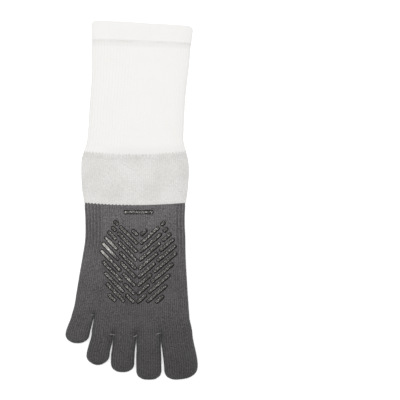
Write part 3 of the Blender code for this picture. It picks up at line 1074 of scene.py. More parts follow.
@dataclass
class CuffWelt:
    """The doubled hem: a soft closed band with rounded edges, a little proud of the leg."""

    form: SockForm
    step: float = 0.5 * MM  # how far it stands proud
    thickness: float = 2.2 * MM
    fold_thinning: float = 0.45  # how much thinner it is at the folds, as a share
    columns: int = 312
    face_rows: int = 16
    edge_rows: int = 9
    wales: int = 164
    softness: float = 0.08 * MM
    softness_pitch: float = 13 * MM

    def profile(self) -> tuple[Array, Array]:
        """The hem's closed section: places along the sock and depths below its outer face.

        Formula: a stadium, two straight faces joined by half circles of half the hem's thickness.

        Returns:
            The places and the depths.
        """
        radius = self.thickness / 2
        low, high = self.form.y_leg + radius, self.form.y_cuff - radius
        face = np.linspace(high, low, self.face_rows, endpoint=False)
        back = face[::-1] - (face[0] - face[-1]) / self.face_rows / 2
        turn = np.linspace(0, np.pi, self.edge_rows, endpoint=False)
        y = np.concatenate([face, low - radius * np.sin(turn), back, high + radius * np.sin(turn)])
        flat = np.zeros(self.face_rows)
        depth = [flat, radius * (1 - np.cos(turn)), flat + 2 * radius, radius * (1 + np.cos(turn))]
        return y, np.concatenate(depth)

    def build(self, material: Material) -> Object:
        """Builds the hem.

        Formula: the tube's outline at each place of the profile, moved inwards along its own normals.

        Args:
            material: the white finish.

        Returns:
            The hem.
        """
        y, depth = self.profile()
        points, t = self.form.tube_grid(y, self.columns, self.step)
        ahead = np.roll(points, -1, 1) - np.roll(points, 1, 1)
        ahead /= np.hypot(ahead[..., 0], ahead[..., 2])[..., None]
        sunk = depth[:, None] * (1 - self.fold_thinning * np.abs(t) ** 8)
        points[..., 0] += sunk * ahead[..., 2]
        points[..., 2] -= sunk * ahead[..., 0]
        walked = np.cumsum(np.hypot(np.diff(y, append=y[0]), np.diff(depth, append=depth[0])))
        mesh = KnitMesh()
        mesh.add_torus(points, stitch_count(-np.append(0.0, walked), self.columns + 1, self.wales))
        outer = (depth < 0.5 * MM).repeat(self.columns)
        relief = undulation(mesh.flat) + outer * self.softness * drift(mesh.flat, self.softness_pitch)
        return mesh.to_object("cuff_welt_knit", mesh.raised(relief), material)


@dataclass
class HeelBand:
    """The thicker heathered band round heel and ankle."""

    form: SockForm
    leg: Leg
    row_step: float = 1.2 * MM
    wall: float = 1.8 * MM
    stand: float = 0.3 * MM  # how far its lower edge stands proud of the foot
    stand_run: float = 9 * MM
    edge_drop: float = 0.5 * MM  # how far the very edge is rounded down again
    edge_run: float = 0.7 * MM
    crease_depth: float = 0.35 * MM
    crease_place: float = 4.2 * MM  # below the band's top
    crease_width: float = 2.0 * MM
    crease_pitch: float = 16 * MM  # of its unevenness
    softness: float = 0.25 * MM
    softness_pitch: float = 27 * MM
    softness_run: float = 8 * MM  # from both edges, over which the softness comes in
    wales: int = 112
    scallops: int = 60
    scallop_depth: float = 0.45 * MM
    scallop_run: float = 2 * MM  # how soon they die away from the edge
    scallop_side: Pair = (0.2, -0.6)  # the place across where they end, and the run over which they come in
    shade_run: Pair = (1.5 * MM, 7 * MM)  # from the foot, where the shade begins, and over what length

    def scalloped(self, y: Array, t: Array) -> Array:
        """How far points near the lower edge stray along the sock.

        Formula: a cosine of even scallops round the band, in a bell about the edge, on the left half.

        Args:
            y: the rows' places at the middle.
            t: every point's place across.

        Returns:
            The shift of every grid point.
        """
        near = bump_at(y, self.form.y_foot, self.scallop_run)[:, None] * rising(t, *self.scallop_side)
        turn = 2 * np.pi * self.scallops * np.arange(self.leg.columns) / self.leg.columns
        return self.scallop_depth * near * np.cos(turn)

    def build(self, material: Material) -> Object:
        """Builds the band.

        Formula: the plain tube on the leg's columns, with the leg's teeth at its top, a shallow crease
        below them and a lip rounded down to the foot. Its colour is darkened a little all over, and more by
        painted shade in the crease, both fading out towards the foot.

        Args:
            material: the grey finish.

        Returns:
            The band.
        """
        form, columns = self.form, self.leg.columns
        y = form.y_foot + form.band_length * np.linspace(1, 0, round(form.band_length / self.row_step) + 1)
        points, t = form.tube_grid(y, columns)
        points[..., 1] += self.scalloped(y, t) - self.leg.teeth(y)
        mesh = KnitMesh()
        mesh.add_ring_grid(mesh.add_points(points), stitch_count(y, columns + 1, self.wales))
        from_top, from_foot = np.repeat(form.y_band - y, columns), np.repeat(y - form.y_foot, columns)
        crease = bump_at(from_top, self.crease_place, self.crease_width)
        crease *= 0.75 + 0.5 * drift(mesh.flat, self.crease_pitch)
        lip = self.stand * (1 - ease(from_foot / self.stand_run))
        lip -= self.edge_drop * bump_at(from_foot, 0.0, self.edge_run)
        soft = self.softness * ease(from_foot / self.softness_run) * ease(from_top / self.softness_run)
        soft *= drift(mesh.flat, self.softness_pitch)
        relief = lip - self.crease_depth * crease + undulation(mesh.flat) + soft
        shade = (0.3 + 0.7 * np.clip(crease, 0, 1)) * rising(from_foot, *self.shade_run)
        return mesh.to_object("heel_band_knit", mesh.raised(relief), material, shade, self.wall)


@dataclass
class FootAndToes:
    """The dark foot and its five toe pockets, knitted in one."""

    form: SockForm
    upper_columns: int = 36  # for each toe
    lower_columns: int = 16  # for each toe
    row_step: float = 1.5 * MM
    tuck: float = 2.0 * MM  # how far the foot runs up under the heel band
    tuck_depth: float = 0.45 * MM
    tuck_run: float = 2.5 * MM
    wall: float = 1.2 * MM
    root_gap: float = 0.2 * MM
    toe_gap: float = 1.2 * MM  # between the roots, as the solids have it
    extra_gap: float = 0.4 * MM  # how much wider than the solids' the gaps open
    little_gap: float = 0.75 * MM  # how far the little toe keeps to the left of the solids' own edge
    cap: float = 0.4  # length of a toe's rounded end, of its width
    cap_rows: int = 15
    tip_bulge: float = 0.1 * MM
    lean_end: float = 0.75  # share of a toe's length after which it leans no more
    swell_end: float = 0.6  # share of a toe's length after which it swells no more
    open_run: Pair = (0.45, 0.9)  # shares of a closed run: where its gap opens, and over what length
    rib_pitch: float = 3.4 * MM
    rib_depth: float = 0.45 * MM
    rib_halfway: float = 0.43  # half the foot's mean width, of its width at the ball
    rib_sides: Table = ((-0.60, -0.12), (0.78, 0.08))  # places across where they begin, and over what run
    rib_reach: Pair = (-68 * MM, 32 * MM)  # the same along the sock, on the upper layer
    rib_reach_below: float = 20 * MM
    seam_depth: float = 0.25 * MM
    seam_width: float = 0.55 * MM
    seam_place: float = 1.9 * MM  # how far before a toe's tip its closing seam lies
    dimple_depth: float = 0.5 * MM
    dimple_radius: float = 1.2 * MM
    dimple_stretch: float = 1.8  # along the sock
    dimple_place: float = 3.2 * MM  # beyond the web
    seam_shade: float = 0.9
    # painted shade in the dimples beside the webs
    dimple_shade: float = 0.35

    def spread(self, count: int) -> Array:
        """A toe's columns between its folds at -1 and 1: half evenly, half as cosines of even angles."""
        step = np.arange(1, count + 1) / (count + 1)
        return 0.5 * (2 * step - 1) - 0.5 * np.cos(np.pi * step)

    def edges(self, toes: tuple[Toe, ...], left: Array, right: Array, gap: float) -> tuple[Array, Array]:
        """Left and right edges of neighbouring toes that share the width between left and right.

        Formula: the width is dealt out by the toes' root shares, less half the gap on each side.

        Args:
            toes: the toes.
            left: the group's left edge at each row.
            right: the group's right edge at each row.
            gap: the space between neighbours.

        Returns:
            The toes' left edges and right edges, a row for each row.
        """
        roots = np.cumsum([0.0] + [toe.root for toe in toes])
        cuts = left[:, None] + (right - left)[:, None] * roots / roots[-1]
        starts = cuts[:, :-1] + gap / 2
        ends = cuts[:, 1:] - gap / 2
        starts[:, 0], ends[:, -1] = left, right
        return starts, ends

    def sinking(self, y: Array, toes: tuple[Toe, ...]) -> Array:
        """How far the foot has dipped to its toes at each edge between them, from 0 to 1.

        Formula: a smooth step over the last stretch before the toes' roots.

        Args:
            y: the rows' places.
            toes: the toes that the rows go round.

        Returns:
            A row of values for each row.
        """
        little = ease(1 - (y - self.form.y_little) / self.form.lobe_run)
        others = ease(1 - (y - self.form.y_toes) / self.form.lobe_run)
        columns = [little, little] + [others] * (len(self.form.toes) - 1)
        return np.stack(columns[len(self.form.toes) - len(toes) :], axis=1)

    def rings(self, toes: tuple[Toe, ...], y: Array, sides: Sides, sunk: Array) -> Array:
        """Rows of points round neighbouring toes: left fold, upper layer, right fold and lower layer back.

        Formula: each layer blends the group's shared crown with every toe's own crown, by how far the
        foot has dipped at the toe's two edges.

        Args:
            toes: the toes.
            y: the rows' places.
            sides: the group's edges and the shared crown's height at each row.
            sunk: how far the foot has dipped at each edge between toes.

        Returns:
            The points, row by row.
        """
        form, (left, right, height) = self.form, sides
        starts, ends = self.edges(toes, left, right, self.root_gap)
        middle, half = ((starts + ends) / 2)[..., None], ((ends - starts) / 2)[..., None]
        own_height = form.toe_height * np.array([toe.height for toe in toes])[None, :, None]
        group_half = ((right - left) / 2)[:, None, None]
        layers = []
        for columns, is_upper in ((self.upper_columns, True), (self.lower_columns, False)):
            spread = self.spread(columns)
            x = middle + half * spread
            t = (x - left[:, None, None]) / group_half - 1
            if is_upper:
                own = form.crown(spread, own_height, form.toe_fold_radius)
                shared = form.crown(t, height[:, None, None], form.fold_radius)
            else:
                own = form.underside(spread, half, form.toe_fold_radius)
                shared = form.underside(t, group_half, form.fold_radius)
            share = sunk[:, :-1, None] * (1 - spread) / 2 + sunk[:, 1:, None] * (1 + spread) / 2
            z = shared + (own - shared) * share
            layers.append((x.reshape(len(y), -1), z.reshape(len(y), -1)))
        folds = form.fold_radius + (form.toe_fold_radius - form.fold_radius) * sunk[:, [0, -1]]
        (upper_x, upper_z), (lower_x, lower_z) = layers
        x = np.concatenate([left[:, None], upper_x, right[:, None], lower_x[:, ::-1]], axis=1)
        z = np.concatenate([folds[:, :1], upper_z, folds[:, 1:], lower_z[:, ::-1]], axis=1)
        t = np.clip((x - left[:, None]) / (right - left)[:, None] * 2 - 1, -1, 1)
        return np.stack([x, form.row_y(y[:, None], t), z], axis=-1)

    def foot_sides(self, y: Array) -> Sides:
        """Left edge, right edge and crown height of the foot before the little toe's root."""
        centre, half, height = self.form.section(y).T
        return centre - half, centre + half, height

    def fore_sides(self, y: Array) -> Sides:
        """Left edge, right edge and crown height of the forefoot before the four longer toes.

        Formula: from the little toe's root the two edges ease over to the width of the four roots.

        Args:
            y: the rows' places.

        Returns:
            The edges and the height at each row.
        """
        form = self.form
        left, right, height = self.foot_sides(np.array([form.y_little]))
        starts, _ = self.edges(form.toes, left, right, self.root_gap)
        start, end = starts[0, 1], right[0]
        middle = (start + end) / 2 + form.fore_shift
        share = ease((form.y_little - y) / form.fore_length)
        low = start + (middle - form.fore_width / 2 - start) * share
        high = end + (middle + form.fore_width / 2 - end) * share
        return low, high, np.full(len(y), height[0])

    def toe_root(self, index: int, gap: float) -> tuple[float, float, float]:
        """Left edge, right edge and y of a toe's root.

        Args:
            index: the toe's place from the sock's left.
            gap: the space between neighbours.

        Returns:
            The three measures.
        """
        form = self.form
        if index == 0:
            starts, ends = self.edges(form.toes, *self.foot_sides(np.array([form.y_little]))[:2], gap)
            return starts[0, 0], ends[0, 0], form.y_little
        starts, ends = self.edges(form.toes[1:], *self.fore_sides(np.array([form.y_toes]))[:2], gap)
        return starts[0, index - 1], ends[0, index - 1], form.y_toes

    def free_edges(self, index: int, run: Array) -> tuple[Array, Array]:
        """A toe's edges at distances from its root, before its neighbours are let in.

        Formula: its middle leans by an eased share, and its half width swells as 1 - (1 - s)^2.

        Args:
            index: the toe's place from the sock's left.
            run: distances from the root.

        Returns:
            The left and right edges.
        """
        toe = self.form.toes[index]
        left, right, _ = self.toe_root(index, self.toe_gap)
        along = np.clip(run / (toe.length * self.form.toe_length), 0, 1)
        swell = 1 + toe.swell * (1 - (1 - np.minimum(along / self.swell_end, 1)) ** 2)
        middle = (left + right) / 2 + toe.lean * self.form.foot_width * ease(along / self.lean_end)
        half = (right - left) / 2 * swell
        return middle - half, middle + half

    def toe_edges(self, index: int, run: Array) -> tuple[Array, Array]:
        """A toe's edges, with the space to each neighbour kept shut near the root.

        Formula: a gap opens from the root's own to what the two free edges leave, eased over the
        neighbours' closed run and a few millimetres more, and each edge moves by half the difference.

        Args:
            index: the toe's place from the sock's left.
            run: distances from the root.

        Returns:
            The left and right edges.
        """
        left, right = self.free_edges(index, run)
        toes = self.form.toes
        if index == 0:
            shut = (self.toe_gap - self.root_gap) / 2
            right = right + shut - (shut + self.little_gap) * ease(run / toes[0].closed_run)
        if 2 <= index:
            beyond = self.free_edges(index - 1, run)[1]
            left = left + (self.open_gap(toes[index - 1], run, left - beyond) - (left - beyond)) / 2
        if 1 <= index < len(toes) - 1:
            beyond = self.free_edges(index + 1, run)[0]
            right = right - (self.open_gap(toes[index], run, beyond - right) - (beyond - right)) / 2
        return left, right

    def open_gap(self, toe: Toe, run: Array, free: Array) -> Array:
        """The gap to the right of a toe: shut at first, then what its free edges and the solids leave.

        Args:
            toe: the toe.
            run: distances from the root.
            free: the gap that its free edges leave there.

        Returns:
            The gap at each distance.
        """
        wanted = np.maximum(free, self.toe_gap) + self.extra_gap
        share = rising(run, *(part * toe.closed_run for part in self.open_run))
        return self.root_gap + (wanted - self.root_gap) * share

    def toe_rings(self, index: int) -> tuple[Array, Array]:
        """Rows of points round one toe from just past its root to just before its tip.

        Formula: the ring is drawn in by (1 - q^p)^(1/p) over its rounded end, where q runs from 0 to 1.

        Args:
            index: the toe's place from the sock's left.

        Returns:
            The points and the rows' distances from the root.
        """
        form, toe = self.form, self.form.toes[index]
        left, right, y_root = self.toe_root(index, self.toe_gap)
        length = toe.length * form.toe_length
        cap = self.cap * (right - left) * (1 + toe.swell)
        straight = np.linspace(0, length - cap, round((length - cap) / self.row_step) + 1)[1:]
        q = np.sin(np.linspace(0, np.pi / 2, self.cap_rows + 2)[1:-1])
        run = np.concatenate([straight, length - cap + q * cap])
        drawn_in = (1 - q**toe.cap_power) ** (1 / toe.cap_power)
        scale = np.concatenate([np.ones(len(straight)), drawn_in])[:, None]
        low, high = self.toe_edges(index, run)
        sides = (low, high, np.full(len(run), form.toe_height))
        rings = self.rings((toe,), np.full(len(run), y_root), sides, np.ones((len(run), 2)))
        middle = ((low + high) / 2)[:, None]
        from_middle = rings[..., 0] - middle
        turn = (toe.slant * ease(run / length))[:, None]
        x = middle + from_middle * scale
        y = y_root - run[:, None] + turn * from_middle * scale
        z = form.toe_fold_radius + (rings[..., 2] - form.toe_fold_radius) * scale
        return np.stack([x, y, z], axis=-1), run

    def lay_tube(self, mesh: KnitMesh, numbers: Array, wales: Array, courses: Array) -> None:
        """Lays the faces of a tube in two halves, so that each fold is a side seam of the stitch count.

        Args:
            mesh: the mesh.
            numbers: point numbers, row by row, in the order that rings gives.
            wales: the wale count of each column, the closing one too.
            courses: the course count of each row.
        """
        closed = np.concatenate([numbers, numbers[:, :1]], axis=1)
        toes = numbers.shape[1] // (self.upper_columns + self.lower_columns)
        right = toes * self.upper_columns + 1
        upper, lower = (closed[:, : right + 1], wales[1:right]), (closed[:, right:], wales[right + 1 : -1])
        for part, inner in (upper, lower):
            count = np.concatenate([inner[:1] - FOLD_WALES, inner, inner[-1:] + FOLD_WALES])
            mesh.add_grid(part, np.stack(np.meshgrid(count, courses), axis=-1))

    def split(self, mesh: KnitMesh, ring: Array, toes: int) -> tuple[Array, Array]:
        """Parts the leftmost toe from a ring of toes, with a web between.

        Args:
            mesh: the mesh.
            ring: the ring's point numbers.
            toes: how many toes the ring goes round.

        Returns:
            The point numbers of the left ring and of the right ring.
        """
        right = 1 + toes * self.upper_columns
        upper_left, upper_right = np.split(ring[1:right], [self.upper_columns])
        lower_right, lower_left = np.split(ring[right + 1 :], [-self.lower_columns])
        middle = mesh.flat[[upper_left[-1], upper_right[0]]].mean(axis=0)
        pair = np.tile(middle, (2, 1))
        pair[:, 0] += np.array((-0.5, 0.5)) * self.root_gap
        pair[:, 2] = self.form.toe_fold_radius
        near, far = mesh.add_points(pair)
        quads = [(upper_left[-1], near, far, upper_right[0]), (near, lower_left[0], lower_right[-1], far)]
        mesh.add_quads(np.array(quads), np.zeros(2))
        return (
            np.concatenate([[ring[0]], upper_left, [near], lower_left]),
            np.concatenate([[far], upper_right, [ring[right]], lower_right]),
        )

    def column_wales(self, ring: Array) -> Array:
        """Wales round a ring, from the distances between its columns, with the closing column."""
        steps = np.linalg.norm((np.roll(ring, -1, 0) - ring)[:, [0, 2]], axis=1)
        return np.append(0.0, np.cumsum(steps)) / WALE

    def wales_of(self, ring: Array, laid: list[tuple[Array, Array]]) -> Array:
        """Wale counts round a ring that was split off from others, with the closing column.

        Formula: each point keeps the count that it was laid with, and a new one takes its neighbour's.

        Args:
            ring: the ring's point numbers.
            laid: the rings that it was split from, each with its wale counts.

        Returns:
            The counts.
        """
        known = np.full(max(numbers.max() for numbers in (ring, *(old for old, _ in laid))) + 1, np.nan)
        for numbers, wales in laid:
            known[numbers] = wales[:-1]
        counts = known[ring]
        filled = np.where(np.isnan(counts), np.roll(counts, -1) - FOLD_WALES, counts)
        return np.append(filled, filled[0])

    def build(self, material: Material) -> Object:
        """Builds the foot and the toes as one closed pocket, open only towards the heel band.

        Formula: a tube round five toes, then round four, then one for each toe, joined at shared rings.

        Args:
            material: the dark finish.

        Returns:
            The foot with its toes.
        """
        form, toes = self.form, self.form.toes
        mesh = KnitMesh()
        length = form.foot_length + self.tuck
        y = form.y_little + length * np.linspace(1, 0, round(length / self.row_step) + 1)
        rings = self.rings(toes, y, self.foot_sides(y), self.sinking(y, toes))
        numbers = mesh.add_points(rings)
        before_lobes = -2 - round(form.lobe_run / self.row_step)
        wales = self.column_wales(rings[before_lobes])
        self.lay_tube(mesh, numbers, wales, -y / COURSE)
        laid = [(numbers[-1], wales)]
        single, rest = self.split(mesh, numbers[-1], len(toes))
        singles = [single]
        y = np.linspace(form.y_little, form.y_toes, round(form.fore_length / self.row_step) + 1)[1:]
        rings = self.rings(toes[1:], y, self.fore_sides(y), self.sinking(y, toes[1:]))
        numbers = np.concatenate([rest[None], mesh.add_points(rings)])
        wales = self.wales_of(rest, laid)
        self.lay_tube(mesh, numbers, wales, -np.append(form.y_little, y) / COURSE)
        laid.append((numbers[-1], wales))
        rest = numbers[-1]
        for left_over in range(len(toes) - 1, 1, -1):
            single, rest = self.split(mesh, rest, left_over)
            singles.append(single)
        seams = [self.lay_toe(mesh, index, ring, laid) for index, ring in enumerate([*singles, rest])]
        return self.finish(mesh, seams, material)

    def lay_toe(
        self, mesh: KnitMesh, index: int, ring: Array, laid: list[tuple[Array, Array]]
    ) -> tuple[Array, Array]:
        """Lays one toe's pocket on its ring and closes its tip.

        Args:
            mesh: the mesh.
            index: the toe's place from the sock's left.
            ring: point numbers of its root.
            laid: the rings that its root was split from, each with its wale counts.

        Returns:
            Its new points' numbers, row by row, and each row's nearness to the closing seam.
        """
        points, run = self.toe_rings(index)
        numbers = np.concatenate([ring[None], mesh.add_points(points)])
        courses = (np.append(0.0, run) - self.toe_root(index, self.root_gap)[2]) / COURSE
        wales = self.wales_of(ring, laid)
        self.lay_tube(mesh, numbers, wales, courses)
        count = np.stack(np.broadcast_arrays(wales[1:], courses[-1] + 1), axis=1)
        mesh.close_end(numbers[-1], count, self.tip_bulge)
        to_tip = self.form.toes[index].length * self.form.toe_length - run
        return numbers[1:], bump_at(to_tip, self.seam_place, self.seam_width)

    def grooves(self, flat: Array, upward: Array) -> Array:
        """The ribs' grooves, from 0 to 1: at both sides of the heel above, and near the heel below.

        Formula: narrow bells at an even pitch across, eased in towards the sides and the heel.

        Args:
            flat: the points.
            upward: whether each point is on the upper layer.

        Returns:
            One value for each point.
        """
        form, y = self.form, flat[:, 1]
        centre, half, _ = form.section(np.maximum(y, form.y_little)).T
        t = (flat[:, 0] - centre) / half
        phase = (t + 1) * form.foot_width * self.rib_halfway / self.rib_pitch
        lines = bump_at(np.abs(phase % 1 - 0.5), 0.0, 0.2)
        above = np.maximum(*(rising(t, *side) for side in self.rib_sides)) * rising(y, *self.rib_reach)
        return lines * np.where(upward, above, rising(y, form.y_toes, self.rib_reach_below))

    def dimples(self, flat: Array, upward: Array) -> Array:
        """Dips beside the webs, where the stitched bars draw the knit in.

        Formula: a bell of the distance from the dip's middle, stretched along the sock.

        Args:
            flat: the points.
            upward: whether each point is on the upper layer.

        Returns:
            One value for each point, from 0 to 1.
        """
        x, y = np.array(self.web_places()).T[:, :, None]
        away = (flat[:, 1] - y + self.dimple_place) / self.dimple_stretch
        return bump_at(np.hypot(flat[:, 0] - x, away), 0.0, self.dimple_radius).sum(axis=0) * upward

    def finish(self, mesh: KnitMesh, seams: list[tuple[Array, Array]], material: Material) -> Object:
        """Gives the knit its relief and makes the piece.

        Formula: the ribs' grooves, a fine seam across each toe's tip, a dimple at each web and a slow
        drift, all along the normals. The colour is darkened by painted shade in the grooves and the dimples,
        and along each toe's closing seam.

        Args:
            mesh: the mesh.
            seams: for each toe, its points' numbers and their nearness to its closing seam.
            material: the dark finish.

        Returns:
            The foot with its toes.
        """
        flat, level = mesh.flat, mesh.normals()[:, 2]
        upward = level > -0.2
        groove, dimples, tips = self.grooves(flat, upward), self.dimples(flat, upward), np.zeros(len(flat))
        for numbers, near in seams:
            tips[numbers] = near[:, None]
        tips *= upward
        level = np.clip(level, 0, 1)
        relief = -self.rib_depth * groove - self.seam_depth * tips - self.dimple_depth * dimples * level**2
        relief += undulation(flat) * level
        relief -= self.tuck_depth * rising(flat[:, 1], self.form.y_foot - self.tuck_run, self.tuck_run)
        shade = np.clip(groove + self.seam_shade * tips + self.dimple_shade * dimples, 0, 1)
        return mesh.to_object("foot_knit", mesh.raised(relief), material, shade, self.wall)

    def web_places(self) -> list[tuple[float, float]]:
        """Where the webs between the toes lie, from the sock's left."""
        return [self.toe_root(index, 0.0)[1:] for index in range(len(self.form.toes) - 1)]

    def height_across(self, y: float, x: Array) -> Array:
        """Height of the upper layer along a row just before the toes' roots.

        Args:
            y: the row's place.
            x: places across.

        Returns:
            Heights over the ground.
        """
        row = np.array([y])
        whole = y >= self.form.y_little
        toes = self.form.toes if whole else self.form.toes[1:]
        sides = self.foot_sides(row) if whole else self.fore_sides(row)
        ring = self.rings(toes, row, sides, self.sinking(row, toes))[0]
        count = 2 + len(toes) * self.upper_columns
        return np.interp(x, ring[:count, 0], ring[:count, 2])


@dataclass(frozen=True)
class Strip:
    """One strip of the herringbone's left half: its arm, and where it starts and ends on the reach."""

    column: Column
    arm: int
    start: float
    end: float


@dataclass(frozen=True)
class PrintHalf:
    """How one half of the herringbone was printed, in metres where it is a length."""

    slope: float  # rise of an arm for each step away from the spine
    drop: float  # how far the whole half lies towards the toes
    inner_reach: Pair  # what an inner strip's start and end add to its share of the reach
    outer_reach: Pair
    short_reach: Pair  # the same for the two short strips nearest the heel
    rim_shift: float  # how far the bright top lies off the strip's middle, as a share of its half width, which widens the painted shade of the dark edge on the other side


PRINT_HALVES = {
    Side.LEFT: PrintHalf(
        0.98, 1.5 * MM, (-1.0 * MM, 0.0), (-1.3 * MM, 0.5 * MM), (-2.0 * MM, 0.5 * MM), -0.04
    ),
    Side.RIGHT: PrintHalf(
        0.90, 1.9 * MM, (-0.5 * MM, 1.1 * MM), (-0.6 * MM, 1.4 * MM), (-0.3 * MM, 2.2 * MM), 0.18
    ),
}


@dataclass
class GripPrint:
    """The raised herringbone on the sole and the plain bar above it."""

    form: SockForm
    width: float = 4.2 * MM
    rise: float = 0.8 * MM  # how far a strip stands over the knit
    root: float = 0.5 * MM  # how far a strip's foot is sunk in the knit
    top: float = 0.28  # where the first arm lies, of the foot's length from the heel band
    pitch: float = 0.0755  # from arm to arm, of the foot's length
    reach: float = 0.326  # how far the arms go from the spine, of the foot's width
    side_step: float = 0.034  # how far the spine lies off the middle, of the foot's width
    bar_top: float = 0.075  # where the plain bar lies, of the foot's length
    bar_length: float = 30.0 * MM
    station_step: float = 0.9 * MM
    blunt_start: float = 3.2  # how square a strip's two ends are
    blunt_end: float = 2.4
    end_breadth: float = 0.12  # the least share of its width that a strip's flat end keeps
    count_step: float = 40.0  # from one strip's count to the next one's
    # Where the strips start and end on the reach, arm by arm
    inner_start: float = 0.05
    inner_ends: tuple[float, ...] = (0.18, 0.50, 0.56, 0.54, 0.49, 0.44, 0.37, 0.32, 0.26)
    outer_ends: Table = (
        (0.58, 0.63), (0.64, 0.70), (0.62, 0.80), (0.57, 0.88), (0.52, 0.94),
        (0.45, 0.97), (0.40, 0.90), (0.34, 0.83), (0.31, 0.77), (0.54, 0.70),
    )
    # The strip's section: places across and heights, each a share
    section: Table = (
        (-1.0, -1.0), (-1.0, 0.15), (-0.93, 0.55), (-0.78, 0.84), (-0.5, 0.98), (0.0, 1.0),
        (0.5, 0.98), (0.78, 0.84), (0.93, 0.55), (1.0, 0.15), (1.0, -1.0), (0.0, -1.0),
    )

    @property
    def strips(self) -> tuple[Strip, ...]:
        """The left half of the herringbone, arms counted from the heel: inner strips, then outer ones."""
        inner = (Strip(Column.INNER, arm, self.inner_start, end) for arm, end in enumerate(self.inner_ends))
        return (*inner, *(Strip(Column.OUTER, arm, *ends) for arm, ends in enumerate(self.outer_ends, 1)))

    def spine_x(self, y: float) -> float:
        """Where the herringbone's spine lies at y."""
        return self.form.section(np.array([y]))[0, 0] + self.side_step * self.form.foot_width

    def ends_of(self, strip: Strip, side: Side) -> tuple[Array, Array]:
        """Where a strip starts and ends.

        Args:
            strip: the strip.
            side: the half of the print that it is on.

        Returns:
            x and y of its start, next to the spine, and of its end.
        """
        form, half = self.form, PRINT_HALVES[side]
        more = half.inner_reach if strip.column is Column.INNER else half.outer_reach
        if strip.column is Column.OUTER and strip.arm < 3:
            more = half.short_reach
        places = []
        for share, added in zip((strip.start, strip.end), more):
            distance = share * self.reach * form.foot_width + added
            y = form.y_foot - (self.top + strip.arm * self.pitch) * form.foot_length - half.drop
            y += distance * half.slope
            places.append(np.array((self.spine_x(y) + side.value * distance, y)))
        return places[0], places[1]

    def sole_height(self, places: Array) -> Array:
        """Height of the sole's surface.

        Args:
            places: x and y, in a grid of any shape.

        Returns:
            Heights over the ground, in the same grid.
        """
        centre, half, height = self.form.section(places[..., 1].ravel()).T
        t = (places[..., 0].ravel() - centre) / half
        return self.form.crown(t, height, self.form.fold_radius).reshape(places.shape[:-1])

    def lay_strip(self, mesh: KnitMesh, start: Array, end: Array, shift: float, seed: int) -> Array:
        """Lays one strip over the sole.

        Formula: the section is carried from start to end, and its width closes at each end as
        (1 - q^p)^(1/p), with a high power p for a blunt end.

        Args:
            mesh: the mesh.
            start: x and y of the strip's start.
            end: x and y of its end.
            shift: how far its bright top lies off its middle, as a share of its half width, which widens the
                painted shade on its other edge.
            seed: shifts the strip's count along it, so that no two are alike.

        Returns:
            How near each new point is to the strip's edge, from 0 on its middle line to 1.
        """
        length = np.linalg.norm(end - start)
        ahead = (end - start) / length
        across = np.array((-ahead[1], ahead[0]))
        edge = min(self.width / 2, length * 0.45)
        turn = np.sin(np.linspace(0.06, np.pi / 2, 7))
        stations = max(round((length - 2 * edge) / self.station_step), 1) + 1
        body = np.linspace(edge, length - edge, stations)[1:-1]
        run = np.concatenate([edge * (1 - turn[::-1]), body, length - edge * (1 - turn)])
        powers = np.where(run < length / 2, self.blunt_start, self.blunt_end)
        q = np.clip(1 - np.minimum(run, length - run) / edge, 0, 1)
        breadth = np.maximum((1 - q**powers) ** (1 / powers), self.end_breadth)
        wobble = 1 + 0.05 * np.sin(run / (2.1 * MM) + seed * 1.3)
        wobble += 0.04 * np.sin(run / (0.9 * MM) + seed * 2.1)
        share, lift = np.array(self.section).T
        side = (share[None] * (breadth * wobble)[:, None] * self.width / 2)[..., None] * across
        places = start + run[:, None, None] * ahead + side
        raised = np.where(lift > 0, lift * self.rise, lift * self.root)
        raised = raised * np.minimum(breadth[:, None] * 1.6, 1)
        z = self.sole_height(places) + raised
        points = np.concatenate([places, z[..., None]], axis=-1)[:, ::-1]
        count = np.stack(np.meshgrid(share[::-1], run / MM + self.count_step * seed)[::-1], axis=-1)
        count = np.concatenate([count, count[:, :1]], axis=1)
        mesh.add_tube(points, count, np.array((self.count_step * seed, 1.0)))
        to_end = 1 - np.minimum(run, length - run) / (self.width / 2)
        near = np.maximum(np.abs(share[::-1] - shift)[None], to_end[:, None])
        return np.concatenate([near.ravel(), (1.0, 1.0)])

    def build_column(self, side: Side, column: Column, material: Material) -> None:
        """Builds one column of the herringbone.

        Args:
            side: the half of the print.
            column: the column on that half.
            material: the silicone finish.
        """
        mesh, nodes, near_edge = KnitMesh(), [], []
        name = f"grip_{side.name.lower()}_{column.value}"
        for seed, strip in enumerate(self.strips):
            if strip.column is column:
                number = seed + 20 * (side is Side.RIGHT)
                ends = self.ends_of(strip, side)
                near_edge.append(self.lay_strip(mesh, *ends, PRINT_HALVES[side].rim_shift, number))
                nodes.append(f"{name}_{strip.arm}")
        place(mesh.to_object(name, mesh.flat, material, np.concatenate(near_edge)), Slot.SILICONE, *nodes)

    def build_bar(self, material: Material) -> None:
        """Builds the plain bar near the heel.

        Args:
            material: the silicone finish.
        """
        y = self.form.y_foot - self.bar_top * self.form.foot_length
        half = np.array((self.bar_length / 2, 0.0))
        middle = np.array((self.spine_x(y), y))
        mesh = KnitMesh()
        near_edge = self.lay_strip(mesh, middle - half, middle + half, 0.0, 45)
        place(mesh.to_object("grip_bar", mesh.flat, material, near_edge), Slot.SILICONE, "grip_top_bar")


@dataclass(frozen=True)
class Tack:
    """A bar of thread over a web: its length, its turn in degrees, its offset from the web and its radius."""

    length: float
    turn: float
    offset: Pair
    radius: float = 0.55 * MM


